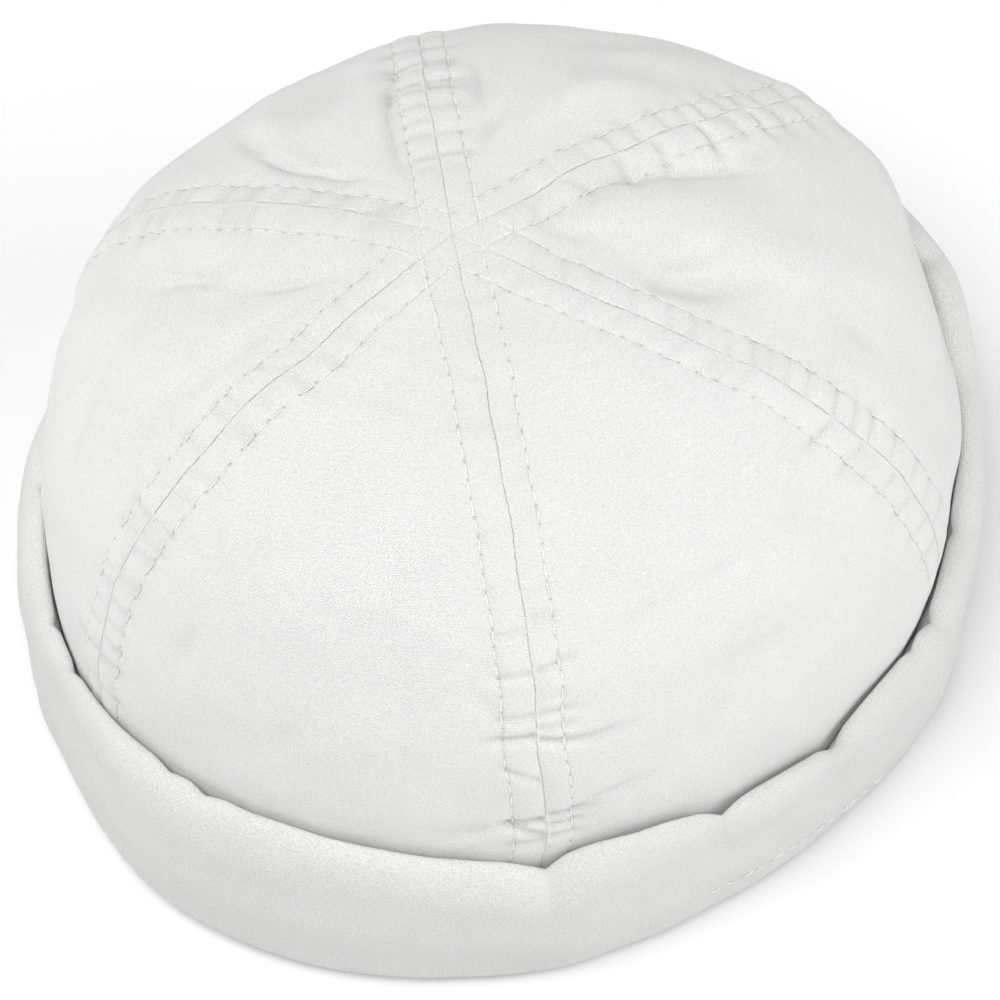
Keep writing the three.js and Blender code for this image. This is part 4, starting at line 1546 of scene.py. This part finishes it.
@dataclass
class SeamStitches:
    """The two rows of topstitching beside every crown seam.

    Attributes:
        crown: The crown's surface.
        stitching: How the rows are sewn.
        start: Where a row comes out of the hem, along the seam.
        side_seed: What each side adds to or takes from the seam's seed.
        aside: How far needle holes stray from their line.
        shown_spread: Least and most of a stitch that shows, as shares of the usual.
        loose: How far the loosest stitch stands up.
    """

    crown: Crown
    stitching: Stitching
    start: float = 26.0
    side_seed: int = 10
    aside: float = 0.06
    shown_spread: Pair = (0.75, 1.2)
    loose: float = 0.08

    def row(self, line: SeamLine, side: Side, sewing: Stitching) -> list:
        """Corners and faces of one row, from abeam of the apex down to the hem."""
        draw = np.random.default_rng(line.seam.seed + self.side_seed * side.value)
        form = self.crown.form
        pitch = sewing.pitch
        holes = pitch * (FIRST_HOLE + np.arange(0, int((form.length - self.start) / pitch) + 1))
        count = len(holes) - 1
        row_offset = line.row_offset(side)
        offset = row_offset * side.value + draw.normal(0.0, self.aside, count + 1)
        gap = pitch * (1.0 - sewing.shown * draw.uniform(*self.shown_spread, count)) / 2
        ends = []
        for places, beside in ((holes[:-1] + gap, offset[:-1]), (holes[1:] - gap, offset[1:])):
            level = form.level_at(form.length - np.hypot(places, row_offset))
            points, normals = self.crown.surface(line.deg_beside(level, beside), level)
            ends.append(points)
        lifts = draw.uniform(0.0, self.loose, count)
        return sewing.lay(ends[0], ends[1], normals, lifts)

    def build(self, material: Material) -> list[Piece]:
        """Makes the stitches of all six seams."""
        made = []
        for line in self.crown.lines:
            sewing = replace(self.stitching, thread=line.seam.thread)
            rows = [self.row(line, side, sewing) for side in Side]
            made.append(sewing.piece(f"topstitching_{line.seam.name}", rows, material, Slot.CROWN))
        return made


@dataclass(frozen=True)
class Nick:
    """A nick in the cuff's top fold.

    Attributes:
        deg: Plan angle.
        rise: Height of the fold there from the cuff's usual height.
        crest: How far the fold swells over the straight way to the next nick.
        gap: Room between the cuff and the crown.
        reach: How much further out the wall is than usual.
    """

    deg: float
    rise: float
    crest: float
    gap: float
    reach: float


NICKS = (
    Nick(8.0, -9.4, 2.0, 1.3, -2.4),
    Nick(26.0, -6.7, 0.8, 0.7, -0.6),
    Nick(32.0, -6.4, 1.4, 0.9, 0.4),
    Nick(45.0, -4.0, 0.5, 0.6, -0.6),
    Nick(56.0, 2.6, 0.5, 0.7, -0.7),
    Nick(66.0, 5.6, 1.6, 0.9, 1.9),
    Nick(84.0, 15.6, 1.8, 1.8, 7.3),
    Nick(106.0, 9.5, 2.0, 1.8, 5.6),
    Nick(131.0, 5.0, 2.2, 1.4, 3.1),
    Nick(152.0, 2.5, 2.0, 1.0, 2.1),
    Nick(176.0, 2.0, 2.0, 0.8, 2.0),
    Nick(203.0, 3.8, 0.9, 0.7, 3.2),
    Nick(222.0, 5.8, 0.9, 0.65, 2.4),
    Nick(234.0, 4.3, 1.6, 0.6, 0.8),
    Nick(250.0, -3.0, 0.6, 0.6, -0.7),
    Nick(259.0, -1.0, 1.6, 0.5, -2.3),
    Nick(284.0, 4.1, 3.2, 0.45, 0.9),
    Nick(325.4, -4.9, 1.8, 0.45, -0.3),
    Nick(337.0, -1.8, 1.4, 1.2, -1.6),
    Nick(349.0, -6.0, 1.8, 1.3, -2.4),
)


@dataclass(frozen=True)
class Notch:
    """A sharp fold in the cuff's top edge.

    Attributes:
        deg: Plan angle.
        depth: Depth of the notch.
        before: Its length on the clockwise side.
        after: Its length on the anticlockwise side.
        gap: How far it stands off the crown.
    """

    deg: float
    depth: float
    before: float
    after: float
    gap: float


NOTCHES = (
    Notch(324.9, 1.8, 9.0, 5.0, 0.5),
    Notch(349.2, 1.0, 6.0, 6.0, 0.9),
    Notch(9.2, 1.8, 5.0, 4.0, 0.9),
    Notch(26.8, 0.9, 4.0, 4.0, 0.8),
    Notch(32.2, 1.4, 5.0, 3.0, 1.4),
    Notch(46.0, 0.5, 4.0, 4.0, 0.9),
    Notch(81.0, 1.6, 6.0, 5.0, 1.6),
    Notch(251.6, 1.0, 3.0, 4.0, 1.0),
    Notch(259.5, 0.9, 3.0, 4.0, 0.7),
    Notch(279.0, 0.6, 5.0, 4.0, 0.8),
    Notch(284.0, 0.8, 4.0, 5.0, 0.8),
    Notch(205.0, 0.8, 5.0, 5.0, 0.8),
    Notch(234.4, 0.9, 4.0, 3.0, 1.6),
)


@dataclass
class Cuff:
    """The doubled band turned up round the crown.

    Attributes:
        crown: The crown's surface.
        height: Usual height of the top fold.
        reach: Usual distance of the wall from the crown's rim.
        cloth: Thickness of a layer.
        foot_radius: Bend between the wall and the flat underside.
        waist: How much further out the wall is at half height.
        roll: Drop of the fold's outer side, as a share of its width.
        roll_most: Largest drop, as a share of the fold's height.
        tuck: Drop of its inner side, as a share of its width.
        crest_share: Place of its highest line, from the crown, as a share of its width.
        inner_edge: Height of the inner layer's free lower edge.
        clearance: Room between the underside's edge and the crown.
        gap_depth: How far below the fold the band touches the crown.
        touch: Room between them there.
        gap_power: How soon the gap closes below the fold, 1 for evenly.
        follow_rise: How soon the inner layer follows the crown, in inner layers.
        inner_crowd: How much closer its rows are under the fold, 1 for evenly.
        foot_free: How free the cloth is to move where the wall starts, 1 for wholly.
        free_rise: How soon it is freer up the wall, in walls.
        join_deg: Plan angle where the band's ends are sewn together.
        stitch_path: Plan angle and height of places along the short row of stitches.
        stitch_lead: How far into its pitch each of them starts.
        stations: Columns round the band.
        notch_power: How sharp a notch is, 1 for a plain V and more for a sharper one.
        dent_depth: Depth of the dents that run down from the nicks.
        dent_width: Half width of those dents.
        dent_length: How far down they fade.
        dent_power: How evenly they fall off aside.
        slack: Broad waves of the band.
        slack_height: Their height.
        hand: Small unevenness.
        hand_height: Its height.
        under_rows: Rows of the section across the underside.
        foot_rows: Rows round the bend over it.
        wall_rows: Rows up the wall.
        roll_rows: Rows over the fold's outer side.
        tuck_rows: Rows over its inner side.
        inner_rows: Rows down the inner layer.
    """

    crown: Crown
    height: float = 38.5
    reach: float = 9.3
    cloth: float = 1.5
    foot_radius: float = 4.6
    waist: float = 0.8
    roll: float = 1.7
    roll_most: float = 0.5
    tuck: float = 0.18
    crest_share: float = 0.2
    inner_edge: float = 9.0
    clearance: float = 0.3
    gap_depth: float = 6.0
    touch: float = 0.15
    gap_power: float = 1.5
    follow_rise: float = 8.0
    inner_crowd: float = 1.6
    foot_free: float = 0.4
    free_rise: float = 2.0
    join_deg: float = 118.0
    stitch_path: tuple[Pair, ...] = ((-13.0, 10.5), (1.5, 10.0), (10.0, 8.0), (18.0, 5.8))
    stitch_lead: float = 0.19
    stations: int = 600
    notch_power: float = 1.4
    dent_depth: float = 0.35
    dent_width: float = 4.5
    dent_length: float = 9.0
    dent_power: float = 1.3
    slack: Unevenness = Unevenness(8, 30.0, 80.0)
    slack_height: float = 0.55
    hand: Unevenness = Unevenness(9, 9.0, 20.0)
    hand_height: float = 0.14
    under_rows: int = 4
    foot_rows: int = 7
    wall_rows: int = 17
    roll_rows: int = 14
    tuck_rows: int = 6
    inner_rows: int = 14

    @property
    def outside_rows(self) -> tuple[int, int]:
        """First row of the section on the outside of the wall, and the first one past it."""
        return self.under_rows, self.under_rows + self.foot_rows + self.wall_rows

    @property
    def side_radius(self) -> float:
        """Radius of the wall at the side that has the short row of stitches."""
        return self.crown.form.rim_width / 2 + self.reach

    def fold(self, deg: Array) -> tuple[Array, Array, Array]:
        """Height of the top fold, gap to the crown and reach of the wall, round the cuff."""
        places, rise, crest, gap, reach = np.array([astuple(nick) for nick in NICKS]).T
        ends = np.append(places, places[0] + 360.0)
        turned = places[0] + (deg - places[0]) % 360.0
        index = np.clip(np.searchsorted(ends, turned, side="right") - 1, 0, len(NICKS) - 1)
        after = (index + 1) % len(NICKS)
        share = (turned - ends[index]) / (ends[index + 1] - ends[index])
        ease = smoothstep(share, 0.0, 1.0)
        swell = crest[index] * 4.0 * share * (1.0 - share)
        top = rise[index] + (rise[after] - rise[index]) * share + swell
        room = gap[index] + (gap[after] - gap[index]) * ease
        out = reach[index] + (reach[after] - reach[index]) * ease
        for notch in NOTCHES:
            aside = self.crown.form.round_from(notch.deg, deg)
            length = np.where(aside < 0.0, notch.before, notch.after)
            fold = np.clip(1.0 - np.abs(aside) / length, 0.0, 1.0) ** self.notch_power
            top = top - notch.depth * fold
            room = room + notch.gap * fold
        return self.height + top, room, self.reach + out

    def dents(self, deg: Array, below: Array) -> Array:
        """Depth of the dents under the nicks, at distances below the top fold."""
        depth = np.zeros(deg.shape)
        for nick in NICKS:
            aside = self.crown.form.round_from(nick.deg, deg)
            fall = np.abs(aside / self.dent_width) ** self.dent_power
            depth += np.exp(-fall - np.maximum(below, 0.0) / self.dent_length)
        return self.dent_depth * depth

    def section(self, deg: Array) -> tuple[Array, Array, Array]:
        """Middle of the cloth at every station, from the underside up the wall and down the inner layer.

        Args:
            deg: Plan angles of the stations.

        Returns:
            Radius and height, by place along the section and by station, and how free the cloth is to move,
            by place.
        """
        half = self.cloth / 2
        top, gap, reach = self.fold(deg)
        rim = self.crown.form.rim_radius(deg)
        wall = rim + reach - half
        inner = self.crown.radius_at_height(deg, top) + gap + half
        width = wall - inner
        crest = inner + width * self.crest_share
        outer_drop = np.minimum(width * self.roll, top * self.roll_most)
        inner_drop = width * self.tuck
        foot = self.foot_radius - half
        start = rim + self.clearance
        rows = []
        for share in np.linspace(0.0, 1.0, self.under_rows + 1)[:-1]:
            rows.append((start + (wall - foot - start) * share, np.full(deg.shape, half), 0.0))
        for turn in np.linspace(-math.pi / 2, 0.0, self.foot_rows + 1)[:-1]:
            height = np.full(deg.shape, self.foot_radius + foot * math.sin(turn))
            rows.append((wall - foot + foot * math.cos(turn), height, self.foot_free * math.cos(turn) ** 2))
        spring = top - half - outer_drop
        for share in np.linspace(0.0, 1.0, self.wall_rows + 1)[:-1]:
            height = self.foot_radius + (spring - self.foot_radius) * share
            free = min(self.foot_free + self.free_rise * share, 1.0)
            rows.append((wall + self.waist * math.sin(math.pi * share) ** 2, height, free))
        for turn in np.linspace(0.0, math.pi / 2, self.roll_rows + 1)[:-1]:
            rows.append((crest + (wall - crest) * math.cos(turn), spring + outer_drop * math.sin(turn), 1.0))
        for turn in np.linspace(math.pi / 2, math.pi, self.tuck_rows + 1)[:-1]:
            radius = crest + (crest - inner) * math.cos(turn)
            rows.append((radius, top - half - inner_drop * (1.0 - math.sin(turn)), math.sin(turn) ** 2))
        for share in np.linspace(0.0, 1.0, self.inner_rows) ** self.inner_crowd:
            height = (top - half - inner_drop) * (1.0 - share) + self.inner_edge * share
            follow = min(share * self.follow_rise, 1.0)
            below = np.clip((top - half - inner_drop - height) / self.gap_depth, 0.0, 1.0)
            room = self.touch + (gap - self.touch) * (1.0 - below) ** self.gap_power
            close = self.crown.radius_at_height(deg, height) + room + half
            rows.append((inner + (np.minimum(close, inner) - inner) * follow, height, 0.0))
        return tuple(np.array(part) for part in zip(*rows))

    def sheet(self) -> tuple[Array, dict[str, Array]]:
        """Places of the band and its flat maps, by row and column."""
        deg = self.join_deg + np.linspace(0.0, 360.0, self.stations + 1)
        radius, height, free = self.section(deg)
        top, _, _ = self.fold(deg)
        turn = np.radians(deg)
        points = np.stack([radius * np.cos(turn), radius * np.sin(turn), height], axis=-1)
        loose = self.slack_height * self.slack.at(points) + self.hand_height * self.hand.at(points)
        pull = free[:, None] * (loose - self.dents(np.broadcast_to(deg, radius.shape), top - height))
        points[..., 0] += pull * np.cos(turn)
        points[..., 1] += pull * np.sin(turn)
        points[:, -1] = points[:, 0]
        up = np.linalg.norm(np.diff(points[:, 0], axis=0), axis=1)
        length = np.concatenate([[0.0], np.cumsum(up)])
        mean_radius = float(self.crown.form.rim_radius(deg).mean()) + self.reach
        round_it = np.linspace(0.0, 2.0 * math.pi, self.stations + 1) * mean_radius
        flat = np.stack(np.broadcast_arrays(round_it[None, :], length[:, None]), axis=-1)
        return points, {
            CLOTH_MAP: flat,
            SEAM_MAP: self.stitch_places(deg, height),
            JOIN_MAP: np.full(flat.shape, FAR),
            PAINTED_SHADE_MAP: np.zeros(flat.shape),
        }

    def stitch_places(self, deg: Array, height: Array) -> Array:
        """Signed distance to the short row of stitches on the wall, and place along it in stitches."""
        path = np.array(self.stitch_path)
        turned = turn_between(deg, path[0, 0]) + path[0, 0]
        apart = height - np.interp(turned, path[:, 0], path[:, 1])
        outside = (turned < path[0, 0]) | (turned > path[-1, 0])
        wall = np.zeros(height.shape, bool)
        wall[slice(*self.outside_rows)] = True
        mm_per_deg = math.radians(1.0) * self.side_radius
        place = (turned - path[0, 0]) * mm_per_deg / STITCH_PITCH + self.stitch_lead
        away = np.where(wall & ~outside[None, :], apart, FAR)
        return np.stack(np.broadcast_arrays(away, place[None, :]), axis=-1)

    def outside(self, deg: Array, height: Array) -> tuple[Array, Array]:
        """Places and outward ways on the outside of the wall."""
        points, _ = self.sheet()
        rows = np.arange(*self.outside_rows)
        station = ((deg - self.join_deg) % 360.0) / 360.0 * self.stations
        radius = []
        for place, high in zip(station, height):
            column = points[rows, int(round(place)) % self.stations]
            middle = np.interp(high, column[:, 2], np.hypot(column[:, 0], column[:, 1]))
            radius.append(middle + self.cloth / 2)
        turn = np.radians(deg)
        ways = np.stack([np.cos(turn), np.sin(turn), np.zeros(len(turn))], axis=-1)
        places = ways * np.array(radius)[:, None]
        places[:, 2] = height
        return places, ways

    def build(self, finish: CottonFinish) -> Piece:
        """Makes and dresses the cuff."""
        points, maps = self.sheet()
        band = Workbench.cloth_grid("cuff_cloth", points, maps)
        Workbench.close_ring(band)
        Workbench.thicken(band, self.cloth, offset=0.0)
        Workbench.dress(band, finish.material(), Slot.CUFF)
        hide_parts("cuff")
        return band


@dataclass
class CuffStitches:
    """The short uneven row of hand stitches low on the cuff.

    Attributes:
        cuff: The cuff.
        stitching: How the row is sewn.
        shown: Shares of the pitch that the stitches show, in turn.
        seed: Start of its random draws.
        aside: How far its stitches stray from their line.
        loose: How far the loosest stitch stands up.
    """

    cuff: Cuff
    stitching: Stitching
    shown: tuple[float, ...] = (0.62, 0.45, 0.75, 0.55, 0.85)
    seed: int = 91
    aside: float = 0.18
    loose: float = 0.22

    def build(self, material: Material) -> Piece:
        """Makes the row."""
        draw = np.random.default_rng(self.seed)
        corners = np.array(self.cuff.stitch_path)
        around = np.radians(corners[-1, 0] - corners[0, 0]) * self.cuff.side_radius
        count = int(around / self.stitching.pitch)
        shares = np.linspace(0.0, 1.0, count + 1)[:-1]
        shown = np.resize(np.array(self.shown), count) / count
        ends = []
        for places in (shares, shares + shown):
            deg = corners[0, 0] + (corners[-1, 0] - corners[0, 0]) * places
            height = np.interp(deg, corners[:, 0], corners[:, 1]) + draw.normal(0.0, self.aside, count)
            points, ways = self.cuff.outside(deg, height)
            ends.append(points)
        row = self.stitching.lay(ends[0], ends[1], ways, draw.uniform(0.0, self.loose, count))
        return self.stitching.piece("cuff_stitches", [row], material, Slot.CUFF)


@dataclass(frozen=True)
class Lamp:
    """A large soft lamp that points at the cap.

    Attributes:
        name: Its name.
        azimuth: Where it stands round the cap, 0 in front of it.
        elevation: How high it stands.
        power: Power in watts.
        size: Side of its square face, in metres.
        distance: Distance from the cap, in metres.
    """

    name: str
    azimuth: float
    elevation: float
    power: float
    size: float = 1.6
    distance: float = 2.0


LAMPS = (
    Lamp("key", 13.0, 67.0, 31.0),
    Lamp("side", 123.0, 26.0, 19.6),
    Lamp("low", -52.0, 30.0, 4.7),
    Lamp("rim", -82.0, 38.0, 6.7),
)


@dataclass(frozen=True)
class Studio:
    """A pale floor, soft light and the camera.

    Attributes:
        azimuth: Where the camera stands round the cap, 0 in front of it.
        elevation: How high it stands.
        distance: From the middle of the rim, in metres.
        focal: Focal length.
        sensor: Width of the sensor.
        clip: Nearest and farthest distance that it sees, in metres.
        roll: How far it is rolled.
        aim_right: Where it points, right of the rim's middle in the picture.
        aim_up: Where it points, above the rim's middle in the picture.
        floor_size: Side of the floor, in metres.
        floor_drop: How far it lies under the cap.
        floor_white: Its reflectance.
        glow: How much the floor glows far from the cap, so that it stays white there.
        glow_from: Distances from the cap where the glow starts and where it is full, in metres.
        sky: Strength of the even light all round, which itself shows as white.
    """

    azimuth: float = 48.35
    elevation: float = 53.77
    distance: float = 0.7716
    focal: float = 125.1
    sensor: float = 36.0
    clip: Pair = (0.05, 60.0)
    roll: float = 2.71
    aim_right: float = -1.2
    aim_up: float = 19.7
    floor_size: float = 12.0
    floor_drop: float = 0.3
    floor_white: float = 0.95
    glow: float = 0.85
    glow_from: Pair = (0.05, 1.0)
    sky: float = 0.13

    @staticmethod
    def way(azimuth: float, elevation: float) -> Vector:
        """Way from the cap to a place round it."""
        turn, rise = math.radians(azimuth), math.radians(elevation)
        return Vector((math.sin(turn) * math.cos(rise), -math.cos(turn) * math.cos(rise), math.sin(rise)))

    def camera(self) -> None:
        """Sets up the camera at the picture's angle."""
        back = self.way(self.azimuth, self.elevation)
        right = Vector((0.0, 0.0, 1.0)).cross(back).normalized()
        up = back.cross(right)
        roll = math.radians(self.roll)
        across = right * math.cos(roll) + up * math.sin(roll)
        upright = up * math.cos(roll) - right * math.sin(roll)
        middle = Vector(RIM_MIDDLE * MM)
        place = middle + back * self.distance
        aim = middle + (across * self.aim_right + upright * self.aim_up) * MM
        depth = (place - aim).normalized()
        across = (across - depth * across.dot(depth)).normalized()
        upright = depth.cross(across)
        data = bpy.data.cameras.new("camera")
        data.sensor_width = self.sensor
        data.lens = self.focal
        data.clip_start, data.clip_end = self.clip
        camera = bpy.data.objects.new("camera", data)
        turned = Matrix((across, upright, depth)).transposed().to_4x4()
        camera.matrix_world = Matrix.Translation(place) @ turned
        bpy.context.scene.collection.objects.link(camera)
        bpy.context.scene.camera = camera

    def light(self) -> None:
        """Sets up the even surround and the lamps."""
        world = bpy.data.worlds.new("surround")
        world.use_nodes = True
        surround = world.node_tree.nodes["Background"]
        surround.inputs["Color"].default_value = (1.0, 1.0, 1.0, 1.0)
        seen = world.node_tree.nodes.new("ShaderNodeLightPath")
        strength = world.node_tree.nodes.new("ShaderNodeMapRange")
        strength.inputs["To Min"].default_value = self.sky
        world.node_tree.links.new(seen.outputs["Is Camera Ray"], strength.inputs["Value"])
        world.node_tree.links.new(strength.outputs["Result"], surround.inputs["Strength"])
        bpy.context.scene.world = world
        for lamp in LAMPS:
            data = bpy.data.lights.new(lamp.name, "AREA")
            data.energy = lamp.power
            data.size = lamp.size
            light = bpy.data.objects.new(lamp.name, data)
            way = self.way(lamp.azimuth, lamp.elevation)
            light.location = way * lamp.distance
            light.rotation_euler = way.to_track_quat("Z", "Y").to_euler()
            bpy.context.scene.collection.objects.link(light)

    def floor(self) -> None:
        """Lays the pale floor."""
        Workbench.clear()
        bpy.ops.mesh.primitive_plane_add(size=self.floor_size, location=(0.0, 0.0, -self.floor_drop * MM))
        floor = bpy.context.object
        floor.name = "floor"
        desk = NodeDesk("floor_pale")
        desk.shader.inputs["Base Color"].default_value = (self.floor_white,) * 3 + (1.0,)
        desk.shader.inputs["Roughness"].default_value = 1.0
        desk.shader.inputs["Specular IOR Level"].default_value = 0.0
        place = desk.tree.nodes.new("ShaderNodeTexCoord")
        away = desk.tree.nodes.new("ShaderNodeVectorMath")
        away.operation = "LENGTH"
        desk.join(place.outputs["Object"], away.inputs[0])
        glow = desk.product(desk.ease(away.outputs["Value"], *self.glow_from), self.glow)
        desk.shader.inputs["Emission Color"].default_value = (1.0, 1.0, 1.0, 1.0)
        desk.join(glow, desk.shader.inputs["Emission Strength"])
        floor.data.materials.append(desk.material)

    def build(self) -> None:
        """Sets up everything round the cap."""
        self.floor()
        self.light()
        self.camera()
        bpy.context.scene.view_settings.view_transform = "Standard"


def main() -> None:
    """Builds the cap and its studio in order."""
    logging.basicConfig(level=logging.INFO, format="%(name)s %(message)s")
    crown = Crown()
    pieces = Panels(crown).build(CottonFinish("crown_cotton"))
    thread = ThreadFinish("white_thread").material()
    pieces += SeamStitches(crown, Stitching()).build(thread)
    cuff = Cuff(crown)
    # The cuff's cotton is a darker copy of the crown's, as painted shade on the cuff, with painted shadow
    # round its stitches.
    cotton = CottonFinish("cuff_cotton_painted_shade", dark=0.57, light=0.89, row_painted_shade=0.7, row_dash=1.0, grain=0.95)
    pieces.append(cuff.build(cotton))
    pieces.append(CuffStitches(cuff, Stitching(thread=0.19)).build(thread))
    log.info("%d pieces: %s", len(pieces), ", ".join(piece.name for piece in pieces))
    Studio().build()


if __name__ == "__main__":
    main()
